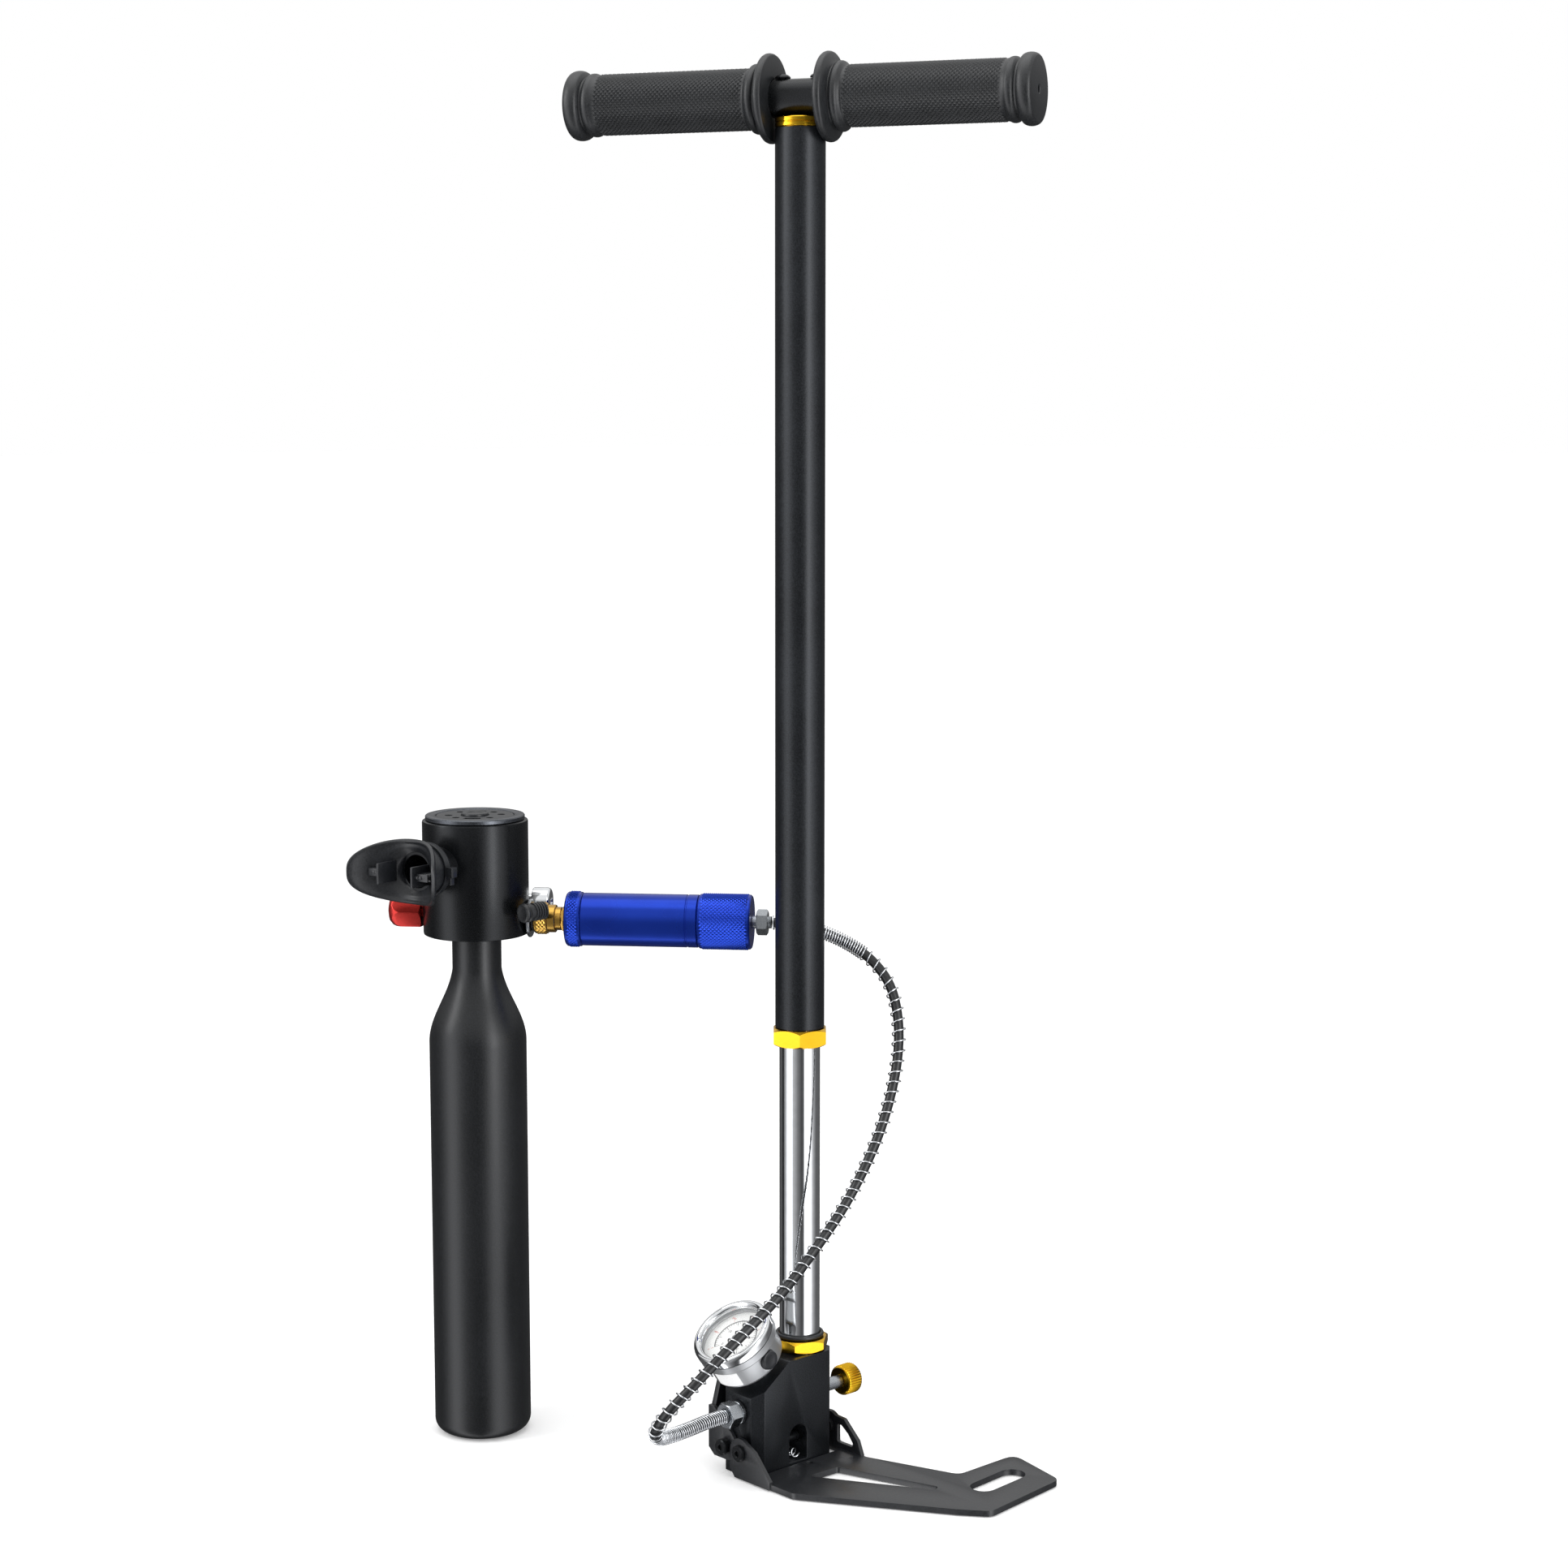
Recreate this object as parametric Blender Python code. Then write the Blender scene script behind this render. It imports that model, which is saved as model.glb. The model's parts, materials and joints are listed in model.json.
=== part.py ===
"""High-pressure hand pump with its spring-guarded hose, in-line filter and small breathing cylinder.

Blender 4.5, metres, +Z up. The origin is where the pump's axis meets the floor. +X is the way the front pedal
reaches, and +Y runs along the pedal's hinge. All sizes below are in millimetres.
"""

import math

import bmesh
import bpy
from mathutils import Vector

MM = 0.001
GAP = 0.3  # left between pieces that touch
X, Y, Z = Vector((1, 0, 0)), Vector((0, 1, 0)), Vector((0, 0, 1))
ROUND = 24  # sides of a large turned piece
SMALL_ROUND = 12  # sides of a small turned piece

# Pump tubes
INNER_TUBE_RADIUS = 12.5
INNER_TUBE_WALL = 2.0
INNER_TUBE_TOP = 598.0
TUBE_SEAT = 52.0
RUNNING = 0.3  # radial clearance between tubes that slide
SLEEVE_SPACE = 1.0  # radial space between the two tubes, which the gland bush fills
OUTER_TUBE_WALL = 1.5
OUTER_TUBE_RADIUS = INNER_TUBE_RADIUS + SLEEVE_SPACE + OUTER_TUBE_WALL
OUTER_TUBE_LENGTH = 539.0
GLAND_BOTTOM = 261.5
GLAND_HEIGHT = 10.5
GLAND_ACROSS_FLATS = 2 * (OUTER_TUBE_RADIUS + 1.0)
BASE_NUT_ACROSS_FLATS = 2 * (INNER_TUBE_RADIUS + 4.0)
BASE_NUT_HEIGHT = 7.2
BUFFER_HEIGHT = 2.7
BUFFER_RADIUS = INNER_TUBE_RADIUS + 2.5
BUSH_LENGTH = 17.5
PISTON_HEAD_HEIGHT = 13.7
ROD_RADIUS = 5.0
ROD_BOTTOM = 262.0
PRESSURE_TUBE_BORE = 6.3
PRESSURE_TUBE_WALL = 1.7
CAP_FLANGE = 5.6
CAP_PLUG = 12.5

# Base block
BLOCK_HALF_X = INNER_TUBE_RADIUS + 5.0
BLOCK_LEFT = -51.5
BLOCK_RIGHT = INNER_TUBE_RADIUS + 2.5
BLOCK_HEIGHT = 69.5
BLOCK_CHAMFER = 6.0
SLOPE_START = -24.6
SLOPE_ANGLE = math.radians(35)
SLOT_WIDTH = 14.7
SLOT_CENTRE = -17.5
SLOT_FLOOR = 5.0
SLOT_TOP = 28.0

# Handle
BAR_RADIUS = 11.1
BAR_WALL = 2.0
BAR_HALF_LENGTH = 143.0
BAR_ANGLE = math.radians(26.5)
SCREW_PLACE = OUTER_TUBE_RADIUS - 4.0
SCREW_RADIUS = 2.5
GRIP_START = OUTER_TUBE_RADIUS + 1.0
GRIP_RADIUS = BAR_RADIUS + 6.4
GRIP_FLANGE_RADIUS = GRIP_RADIUS + 8.7
GRIP_END_RADIUS = GRIP_RADIUS + 3.3

# Pedal and rear foot
PIN_PLACE = 7.7
PIN_HEIGHT = 17.0
PIN_RADIUS = 3.0
PIN_HEAD_RADIUS = PIN_RADIUS + 2.0
PIN_HEAD_THICK = 2.2
EAR_RADIUS = PIN_RADIUS + 6.0
FOOT_EAR_THICK = 2.5
PEDAL_EAR_THICK = 2.7
PLATE_BOTTOM = 0.3
PLATE_TOP = 4.0
FOOT_REACH = 47.0

# Gauge
GAUGE_PLACE = -36.0
GAUGE_RADIUS = 23.0
BEZEL_RADIUS = GAUGE_RADIUS + 2.5
GAUGE_FRONT = 38.0

# Bleed knob and hose fitting
BLEED_PLACE = Vector((6.0, BLOCK_RIGHT, 42.0))
BLEED_KNOB_RADIUS = 9.3
BLEED_KNOB_LENGTH = 11.6
FITTING_PLACE = Vector((1.0, BLOCK_LEFT, 40.0))
HOSE_RADIUS = 4.6

# Cylinder and regulator
TANK_PLACE = Vector((-174.7, -113.9, 0.0))
TANK_RADIUS = 30.5
TANK_WALL = 4.0
TANK_SHOULDER = 253.0
NECK_RADIUS = 15.4
NECK_START = 299.0
NECK_TOP = 321.0
HOUSING_RADIUS = 33.0
HOUSING_HEIGHT = 72.0
RING_RADIUS = HOUSING_RADIUS - 2.0
RING_HEIGHT = 3.0
COVER_RADIUS = HOUSING_RADIUS - 8.8
BUTTON_RADIUS = 8.5
VENTS = ((55, 2.5), (235, 2.5), (97, 2.3), (177, 2.3), (277, 2.3), (357, 2.3))  # angle, radius
KIDNEYS = (137, 317)  # angles of the long vents
MOUTH_HEIGHT = 46.0  # above the housing's foot
MOUTH_WAY = Vector((0.208, -0.978, 0.0)).normalized()
PORT_RADIUS = 12.4
PORT_BORE = 10.4
KNOB_HEIGHT = 14.0  # above the housing's foot
WING_HALF = 33.0
WING_THICK = 3.0
WING_BEND = 21.0

# Filter line
FILL_HEIGHT = 10.0  # above the housing's foot
FILL_WAY = Vector((0.755, 0.656, 0.0)).normalized()
FILTER_RADIUS = 16.5
FILTER_CAP_RADIUS = FILTER_RADIUS + 1.0
FILTER_START = HOUSING_RADIUS + 25.0
OUTLET_CAP_LENGTH = 10.0
FILTER_LENGTH = 73.0
INLET_CAP_LENGTH = 33.0
COUPLER_PULL = 3.0
PLUG_ASIDE = 20.5  # from the fill line, on the side away from the dust cap
PLUG_LIFT = 7.0
DUST_CAP_RADIUS = 6.0
DUST_CAP_LENGTH = 17.0
DUST_CAP_REACH = 22.0  # from the fill line's middle to the cap's
DUST_CAP_LIFT = math.radians(20)  # above level, on the side of the mouthpiece

# The hose's own line, from the base fitting to the filter's nut
HOSE_ROUTE = (
    (1.0, -64.8, 40.0),
    (1.0, -78.0, 40.0),
    (1.0, -92.0, 39.0),
    (2.0, -106.0, 39.0),
    (5.5, -119.0, 41.5),
    (12.0, -128.0, 48.5),
    (20.0, -130.5, 58.0),
    (27.0, -127.0, 68.0),
    (33.0, -118.5, 78.5),
    (38.0, -107.0, 90.0),
    (42.0, -93.0, 102.0),
    (44.5, -77.5, 113.0),
    (45.5, -61.5, 123.5),
    (45.5, -46.0, 134.5),
    (45.5, -26.0, 151.0),
    (46.0, -8.0, 168.0),
    (47.0, 7.0, 187.0),
    (47.5, 21.0, 209.0),
    (46.0, 33.0, 232.0),
    (43.0, 42.0, 255.0),
    (37.5, 47.5, 276.0),
    (28.5, 49.5, 295.0),
    (16.0, 46.0, 309.5),
    (1.5, 38.5, 319.5),
    (-12.5, 28.0, 326.5),
    (-24.5, 17.0, 330.5),
    (-33.6, 8.7, 331.3),
)

# Worked out from the sizes above
BORE_CLEAR = INNER_TUBE_RADIUS + RUNNING
BASE_NUT_BOTTOM = BLOCK_HEIGHT + GAP
BUFFER_BOTTOM = BASE_NUT_BOTTOM + BASE_NUT_HEIGHT + GAP
OUTER_TUBE_BOTTOM = GLAND_BOTTOM + GLAND_HEIGHT + GAP
OUTER_TUBE_TOP = OUTER_TUBE_BOTTOM + OUTER_TUBE_LENGTH
OUTER_TUBE_BORE = OUTER_TUBE_RADIUS - OUTER_TUBE_WALL
CAP_TOP = OUTER_TUBE_TOP + GAP + CAP_FLANGE
BAR_HEIGHT = CAP_TOP + GAP + BAR_RADIUS
BAR_WAY = Vector((math.cos(BAR_ANGLE), math.sin(BAR_ANGLE), 0.0))
PRESSURE_TUBE_TOP = INNER_TUBE_TOP - 4.0
SLOPE_DROP = (SLOPE_START - BLOCK_LEFT) * math.tan(SLOPE_ANGLE)
GAUGE_WAY = Vector((0.0, -math.sin(SLOPE_ANGLE), math.cos(SLOPE_ANGLE)))
GAUGE_FOOT = Vector((0.0, GAUGE_PLACE, BLOCK_HEIGHT - (SLOPE_START - GAUGE_PLACE) * math.tan(SLOPE_ANGLE)))
HOUSING_FOOT = NECK_TOP + GAP
HOUSING_TOP = HOUSING_FOOT + HOUSING_HEIGHT
FILL_START = TANK_PLACE + Vector((0.0, 0.0, HOUSING_FOOT + FILL_HEIGHT))
FILTER_BODY_START = FILTER_START + OUTLET_CAP_LENGTH + GAP
INLET_CAP_START = FILTER_BODY_START + FILTER_LENGTH - GAP
INLET_CAP_END = INLET_CAP_START + INLET_CAP_LENGTH
FOOT_EAR = BLOCK_LEFT - GAP, BLOCK_RIGHT + GAP  # inner faces, left and right
PEDAL_EAR = FOOT_EAR[0] - FOOT_EAR_THICK - GAP, FOOT_EAR[1] + FOOT_EAR_THICK + GAP
PIN_HEAD = PEDAL_EAR[0] - PEDAL_EAR_THICK - GAP, PEDAL_EAR[1] + PEDAL_EAR_THICK + GAP
FRONT_PIN = Vector((PIN_PLACE, 0.0, PIN_HEIGHT))
REAR_PIN = Vector((-PIN_PLACE, 0.0, PIN_HEIGHT))


def finish(name, colour, roughness, metallic=0.0, alpha=1.0):
    """A plain surface with one colour."""
    surface = bpy.data.materials.new(name)
    surface.use_nodes = True
    shader = surface.node_tree.nodes["Principled BSDF"]
    shader.inputs["Base Color"].default_value = (*colour, 1.0)
    shader.inputs["Roughness"].default_value = roughness
    shader.inputs["Metallic"].default_value = metallic
    shader.inputs["Alpha"].default_value = alpha
    surface.diffuse_color = (*colour, alpha)
    return surface


def clear_scene():
    for thing in list(bpy.data.objects):
        bpy.data.objects.remove(thing, do_unlink=True)


def facing(along):
    """The turn that points an object's own Z axis along the given way, with its Y axis as upright as can be."""
    if Vector(along) == Z:
        return (0.0, 0.0, 0.0)
    return Vector(along).to_track_quat("Z", "Y").to_euler()


def placed(name, shape, surface, at=(0, 0, 0), along=Z):
    """Makes a named object of a closed bmesh, with its own Z axis along the given way."""
    bmesh.ops.recalc_face_normals(shape, faces=shape.faces)
    mesh = bpy.data.meshes.new(name)
    shape.to_mesh(mesh)
    shape.free()
    mesh.shade_smooth()
    mesh.set_sharp_from_angle(angle=math.radians(35))
    mesh.materials.append(surface)
    piece = bpy.data.objects.new(name, mesh)
    piece.location = Vector(at) * MM
    piece.rotation_euler = facing(along)
    bpy.context.scene.collection.objects.link(piece)
    return piece


def turned(name, profile, surface, at=(0, 0, 0), along=Z, sides=ROUND):
    """Spins a closed outline of (radius, height) points about the piece's own Z axis."""
    shape = bmesh.new()
    corners = [shape.verts.new((radius * MM, 0.0, height * MM)) for radius, height in profile]
    edges = []
    for first, second in zip(corners, corners[1:] + corners[:1]):
        if first.co.x > 0.0 or second.co.x > 0.0:
            edges.append(shape.edges.new((first, second)))
    bmesh.ops.spin(
        shape, geom=corners + edges, cent=(0, 0, 0), axis=Z, angle=2 * math.pi, steps=sides, use_merge=True
    )
    bmesh.ops.remove_doubles(shape, verts=shape.verts, dist=1e-7)
    return placed(name, shape, surface, at, along)


def extruded(name, outline, low, high, surface, at=(0, 0, 0), along=Z):
    """Pulls a flat outline of (x, y) points from one height to another along the piece's own Z axis."""
    shape = bmesh.new()
    corners = [shape.verts.new((x * MM, y * MM, low * MM)) for x, y in outline]
    face = shape.faces.new(corners)
    pulled = bmesh.ops.extrude_face_region(shape, geom=[face], use_keep_orig=True)
    moved = [thing for thing in pulled["geom"] if isinstance(thing, bmesh.types.BMVert)]
    bmesh.ops.translate(shape, verts=moved, vec=Z * (high - low) * MM)
    return placed(name, shape, surface, at, along)


def tube(outer, inner, low, high):
    """The outline of a plain tube, for turning."""
    return [(inner, low), (outer, low), (outer, high), (inner, high)]


def rod(radius, low, high, edge=0.0):
    """The outline of a solid round bar, for turning, with its edges broken."""
    if not edge:
        return [(0.0, low), (radius, low), (radius, high), (0.0, high)]
    inner = radius - edge
    return [(0.0, low), (inner, low), (radius, low + edge), (radius, high - edge), (inner, high), (0.0, high)]


def arc(centre, radius, start, end, points):
    """Points on a circle, from one angle to another in degrees."""
    found = []
    for number in range(points + 1):
        angle = math.radians(start + (end - start) * number / points)
        found.append((centre[0] + radius * math.cos(angle), centre[1] + radius * math.sin(angle)))
    return found


def rounded(corners, radius, points=4):
    """A closed outline with each corner rounded."""
    outline = []
    for number, corner in enumerate(corners):
        here = Vector(corner)
        back = Vector(corners[number - 1]) - here
        ahead = Vector(corners[(number + 1) % len(corners)]) - here
        half = back.angle(ahead) / 2
        reach = min(radius / math.tan(half), 0.45 * back.length, 0.45 * ahead.length)
        start = here + back.normalized() * reach
        end = here + ahead.normalized() * reach
        for step in range(points + 1):
            part = step / points
            spot = start * (1 - part) ** 2 + here * 2 * part * (1 - part) + end * part**2
            outline.append((spot.x, spot.y))
    return outline


def boolean(piece, other, operation):
    """Joins, cuts or trims a piece by a helper that stays hidden."""
    other.hide_render = True
    other.display_type = "WIRE"
    change = piece.modifiers.new(other.name, "BOOLEAN")
    change.operation = operation
    change.object = other
    change.solver = "EXACT"


def drill(piece, name, radius, low, high, at=(0, 0, 0), along=Z, sides=SMALL_ROUND, holder=None):
    """Cuts a round hole. A holder is the object whose placing the hole shares."""
    cutter = turned(name, rod(radius, low, high), piece.data.materials[0], at, along, sides)
    cutter.parent = holder
    boolean(piece, cutter, "DIFFERENCE")


def hex_piece(name, across_flats, low, high, bore, surface, at, along=Z, turn=0.0, sides=SMALL_ROUND):
    """A hexagonal nut with its corners chamfered by a turned blank."""
    corner_radius = across_flats / math.sqrt(3)
    outline = arc((0, 0), corner_radius, turn, turn + 300, 5)
    nut = extruded(name, outline, low, high, surface, at, along)
    rim = across_flats / 2 - 0.2
    blank_radius = corner_radius + 0.4
    edge = (blank_radius - rim) * 0.5
    profile = [(0.0, low), (rim, low), (blank_radius, low + edge), (blank_radius, high - edge), (rim, high)]
    if bore:
        profile = [(bore, low), *profile[1:], (bore, high)]
    else:
        profile.append((0.0, high))
    blank = turned(name + "_blank", profile, surface, at, along, sides)
    boolean(nut, blank, "INTERSECT")
    return nut


def joint_empty(name, at, along=Z):
    """An empty on a joint's axis, which the moving pieces hang from."""
    empty = bpy.data.objects.new(name, None)
    empty.empty_display_size = 0.02
    empty.location = Vector(at) * MM
    empty.rotation_euler = facing(along)
    bpy.context.scene.collection.objects.link(empty)
    return empty


def hang(empty, *pieces):
    """Parents pieces to an empty where they are."""
    bpy.context.view_layer.update()
    for piece in pieces:
        piece.parent = empty
        piece.matrix_parent_inverse = empty.matrix_world.inverted()


def make_block(surface):
    half, cut = BLOCK_HALF_X, BLOCK_CHAMFER
    plan = [
        (-half + cut, BLOCK_LEFT),
        (half - cut, BLOCK_LEFT),
        (half, BLOCK_LEFT + cut),
        (half, BLOCK_RIGHT - cut),
        (half - cut, BLOCK_RIGHT),
        (-half + cut, BLOCK_RIGHT),
        (-half, BLOCK_RIGHT - cut),
        (-half, BLOCK_LEFT + cut),
    ]
    block = extruded("base_block", plan, 0.0, BLOCK_HEIGHT, surface)
    past = 5.0
    drop = SLOPE_DROP + past * math.tan(SLOPE_ANGLE)
    wedge = [
        (SLOPE_START, BLOCK_HEIGHT),
        (SLOPE_START, BLOCK_HEIGHT + past),
        (BLOCK_LEFT - past, BLOCK_HEIGHT + past),
        (BLOCK_LEFT - past, BLOCK_HEIGHT - drop),
    ]
    boolean(block, sideways("slope_cut", wedge, half + past, surface), "DIFFERENCE")
    radius = SLOT_WIDTH / 2
    arch = arc((SLOT_CENTRE, SLOT_TOP - radius), radius, 0, 180, 10)
    arch += [(SLOT_CENTRE - radius, SLOT_FLOOR), (SLOT_CENTRE + radius, SLOT_FLOOR)]
    boolean(block, sideways("slot_cut", arch, half + past, surface), "DIFFERENCE")
    drill(block, "tube_bore", INNER_TUBE_RADIUS + GAP, TUBE_SEAT, BLOCK_HEIGHT + past, sides=ROUND)
    for side, pin in (("front", FRONT_PIN), ("rear", REAR_PIN)):
        drill(block, side + "_pin_bore", PIN_RADIUS + GAP, BLOCK_LEFT - past, BLOCK_RIGHT + past, pin, Y)
    drill(block, "gauge_bore", 5.2, -8.0, past, GAUGE_FOOT, GAUGE_WAY)
    drill(block, "bleed_bore", 4.3, -8.0, past, BLEED_PLACE, Y)
    drill(block, "fitting_bore", 4.8, -8.0, past, FITTING_PLACE, -Y)
    return block


def sideways(name, outline, half, surface):
    """Pulls an outline of (y, z) points along X, the same way to both sides."""
    shape = bmesh.new()
    corners = [shape.verts.new((-half * MM, y * MM, z * MM)) for y, z in outline]
    face = shape.faces.new(corners)
    pulled = bmesh.ops.extrude_face_region(shape, geom=[face], use_keep_orig=True)
    moved = [thing for thing in pulled["geom"] if isinstance(thing, bmesh.types.BMVert)]
    bmesh.ops.translate(shape, verts=moved, vec=X * 2 * half * MM)
    return placed(name, shape, surface)


def make_fixed_tubes(chrome, gold, rubber, steel):
    low = TUBE_SEAT + GAP
    inner_bore = INNER_TUBE_RADIUS - INNER_TUBE_WALL
    turned("inner_tube", tube(INNER_TUBE_RADIUS, inner_bore, low, INNER_TUBE_TOP), chrome)
    pressure_radius = PRESSURE_TUBE_BORE + PRESSURE_TUBE_WALL
    profile = tube(pressure_radius, PRESSURE_TUBE_BORE, low, PRESSURE_TUBE_TOP)
    turned("high_pressure_tube", profile, steel, sides=SMALL_ROUND)
    hex_piece(
        "base_nut",
        BASE_NUT_ACROSS_FLATS,
        0.0,
        BASE_NUT_HEIGHT,
        INNER_TUBE_RADIUS + GAP,
        gold,
        Z * BASE_NUT_BOTTOM,
        turn=8.0,
        sides=ROUND,
    )
    inner = INNER_TUBE_RADIUS + GAP
    half = BUFFER_HEIGHT / 2
    edge = 0.6
    profile = [
        (inner, half - edge),
        (inner + edge, 0.0),
        (BUFFER_RADIUS - edge, 0.0),
        (BUFFER_RADIUS, half - edge),
        (BUFFER_RADIUS, half + edge),
        (BUFFER_RADIUS - edge, BUFFER_HEIGHT),
        (inner + edge, BUFFER_HEIGHT),
        (inner, half + edge),
    ]
    turned("buffer_ring", profile, rubber, Z * BUFFER_BOTTOM)


def make_piston_head(brass, rubber):
    low = INNER_TUBE_TOP + GAP
    high = low + PISTON_HEAD_HEIGHT
    radius = OUTER_TUBE_BORE - 0.5
    groove = radius - 1.6
    seal_low, seal_high = low + 5.0, low + 9.0
    bore = ROD_RADIUS + RUNNING
    profile = [
        (bore, low),
        (radius, low),
        (radius, seal_low),
        (groove, seal_low),
        (groove, seal_high),
        (radius, seal_high),
        (radius, high),
        (bore, high),
    ]
    turned("piston_head", profile, brass)
    seal = tube(OUTER_TUBE_BORE - 0.2, groove + GAP, seal_low + GAP, seal_high - GAP)
    turned("piston_seal", seal, rubber)


def make_rod(steel, brass):
    high = OUTER_TUBE_TOP + GAP - CAP_PLUG - GAP
    shaft = turned("piston_rod", rod(ROD_RADIUS, ROD_BOTTOM, high), steel, sides=SMALL_ROUND)
    tip = rod(PRESSURE_TUBE_BORE - RUNNING, ROD_BOTTOM - GAP - 12.0, ROD_BOTTOM - GAP, 1.0)
    end = turned("rod_piston", tip, brass, sides=SMALL_ROUND)
    hang(joint_empty("pump_stroke", (0, 0, ROD_BOTTOM)), shaft, end)


def make_sleeve(black, gold, brass):
    profile = tube(OUTER_TUBE_RADIUS, OUTER_TUBE_BORE, OUTER_TUBE_BOTTOM, OUTER_TUBE_TOP)
    outer = turned("outer_tube", profile, black)
    nut = hex_piece(
        "gland_nut",
        GLAND_ACROSS_FLATS,
        0.0,
        GLAND_HEIGHT,
        BORE_CLEAR,
        gold,
        Z * GLAND_BOTTOM,
        turn=-43.0,
        sides=ROUND,
    )
    profile = tube(OUTER_TUBE_BORE - GAP, BORE_CLEAR, OUTER_TUBE_BOTTOM, OUTER_TUBE_BOTTOM + BUSH_LENGTH)
    bush = turned("gland_bush", profile, brass)
    flange = OUTER_TUBE_TOP + GAP
    plug = OUTER_TUBE_BORE - GAP
    profile = [
        (0.0, flange - CAP_PLUG),
        (plug, flange - CAP_PLUG),
        (plug, flange),
        (OUTER_TUBE_RADIUS, flange),
        (OUTER_TUBE_RADIUS, CAP_TOP - 0.6),
        (OUTER_TUBE_RADIUS - 0.6, CAP_TOP),
        (0.0, CAP_TOP),
    ]
    cap = turned("top_cap", profile, gold)
    for name, side in (("left", -1), ("right", 1)):
        at = BAR_WAY * SCREW_PLACE * side
        drill(cap, "cap_hole_" + name, SCREW_RADIUS + GAP, flange + 0.8, CAP_TOP + 5.0, at, sides=12)
    return [outer, nut, bush, cap]


def make_handle(black, steel):
    centre = Vector((0.0, 0.0, BAR_HEIGHT))
    profile = tube(BAR_RADIUS, BAR_RADIUS - BAR_WALL, -BAR_HALF_LENGTH, BAR_HALF_LENGTH)
    bar = turned("handle_bar", profile, black, centre, BAR_WAY)
    pieces = [bar]
    head_low = BAR_HEIGHT + BAR_RADIUS + GAP
    shank_low = OUTER_TUBE_TOP + 2 * GAP + 1.0
    for name, side in (("left", -1), ("right", 1)):
        at = BAR_WAY * SCREW_PLACE * side
        drill(bar, "bar_hole_" + name, SCREW_RADIUS + GAP, CAP_TOP, head_low + 5.0, at, sides=12)
        profile = [
            (0.0, shank_low),
            (SCREW_RADIUS, shank_low),
            (SCREW_RADIUS, head_low),
            (4.75, head_low),
            (4.5, head_low + 1.2),
            (3.2, head_low + 2.3),
            (1.7, head_low + 2.6),
            (1.7, head_low + 1.0),
            (0.0, head_low + 1.0),
        ]
        pieces.append(turned("handle_screw_" + name, profile, steel, at, sides=SMALL_ROUND))
    return pieces


def grip_profile():
    """A rubber grip with a wide inner flange, a plain middle and a beaded outer end."""
    start, middle, flange = GRIP_START, GRIP_RADIUS, GRIP_FLANGE_RADIUS
    end_wall = BAR_HALF_LENGTH + GAP
    inner = BAR_RADIUS + GAP
    outer_end = end_wall + 1.9
    hole = 2.3
    return [
        (inner, start),
        (flange - 0.8, start),
        (flange, start + 0.8),
        (flange, start + 4.2),
        (flange - 0.8, start + 5.0),
        (middle + 0.8, start + 7.8),
        (middle + 2.8, start + 10.0),
        (middle, start + 14.5),
        (middle, outer_end - 17.7),
        (middle + 1.1, outer_end - 12.7),
        (middle - 0.5, outer_end - 10.0),
        (GRIP_END_RADIUS - 0.8, outer_end - 7.7),
        (GRIP_END_RADIUS, outer_end - 5.7),
        (GRIP_END_RADIUS, outer_end - 1.7),
        (GRIP_END_RADIUS - 1.2, outer_end),
        (hole, outer_end),
        (hole, end_wall),
        (inner, end_wall),
    ]


def make_grips(rubber):
    centre = Vector((0.0, 0.0, BAR_HEIGHT))
    left = turned("grip_left", grip_profile(), rubber, centre, -BAR_WAY)
    right = turned("grip_right", grip_profile(), rubber, centre, BAR_WAY)
    return [left, right]


def make_pins(steel):
    length_low, length_high = PIN_HEAD
    profile = [
        (0.0, length_low - PIN_HEAD_THICK + 1.5),
        (1.7, length_low - PIN_HEAD_THICK + 1.5),
        (1.7, length_low - PIN_HEAD_THICK),
        (PIN_HEAD_RADIUS - 0.5, length_low - PIN_HEAD_THICK),
        (PIN_HEAD_RADIUS, length_low - PIN_HEAD_THICK + 0.5),
        (PIN_HEAD_RADIUS, length_low),
        (PIN_RADIUS, length_low),
        (PIN_RADIUS, length_high),
        (PIN_HEAD_RADIUS, length_high),
        (PIN_HEAD_RADIUS, length_high + PIN_HEAD_THICK - 0.5),
        (PIN_HEAD_RADIUS - 0.5, length_high + PIN_HEAD_THICK),
        (0.0, length_high + PIN_HEAD_THICK),
    ]
    turned("front_hinge_pin", profile, steel, FRONT_PIN, Y, SMALL_ROUND)
    turned("rear_hinge_pin", profile, steel, REAR_PIN, Y, SMALL_ROUND)
    spacers = (
        ("front_spacer_left", FRONT_PIN, FOOT_EAR[0] - FOOT_EAR_THICK, FOOT_EAR[0]),
        ("front_spacer_right", FRONT_PIN, FOOT_EAR[1], FOOT_EAR[1] + FOOT_EAR_THICK),
        ("rear_spacer_left", REAR_PIN, PEDAL_EAR[0] - PEDAL_EAR_THICK, PEDAL_EAR[0]),
        ("rear_spacer_right", REAR_PIN, PEDAL_EAR[1], PEDAL_EAR[1] + PEDAL_EAR_THICK),
    )
    for name, pin, low, high in spacers:
        profile = tube(PIN_HEAD_RADIUS - 0.1, PIN_RADIUS + GAP, low, high)
        turned(name, profile, steel, pin, Y, SMALL_ROUND)


def ear_outline(front, side):
    """A hinge ear in (x, z), measured from its pin, standing on the floor end of its plate."""
    floor = PLATE_BOTTOM + GAP - PIN_HEIGHT
    outline = arc((0.0, 0.0), EAR_RADIUS, 50, 180, 10)
    outline += [(-EAR_RADIUS, floor + 5.2), (-EAR_RADIUS + 4.3, floor)]
    outline += [(front[0], floor), *front[1:]]
    return [(x * side, z) for x, z in outline]


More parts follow.
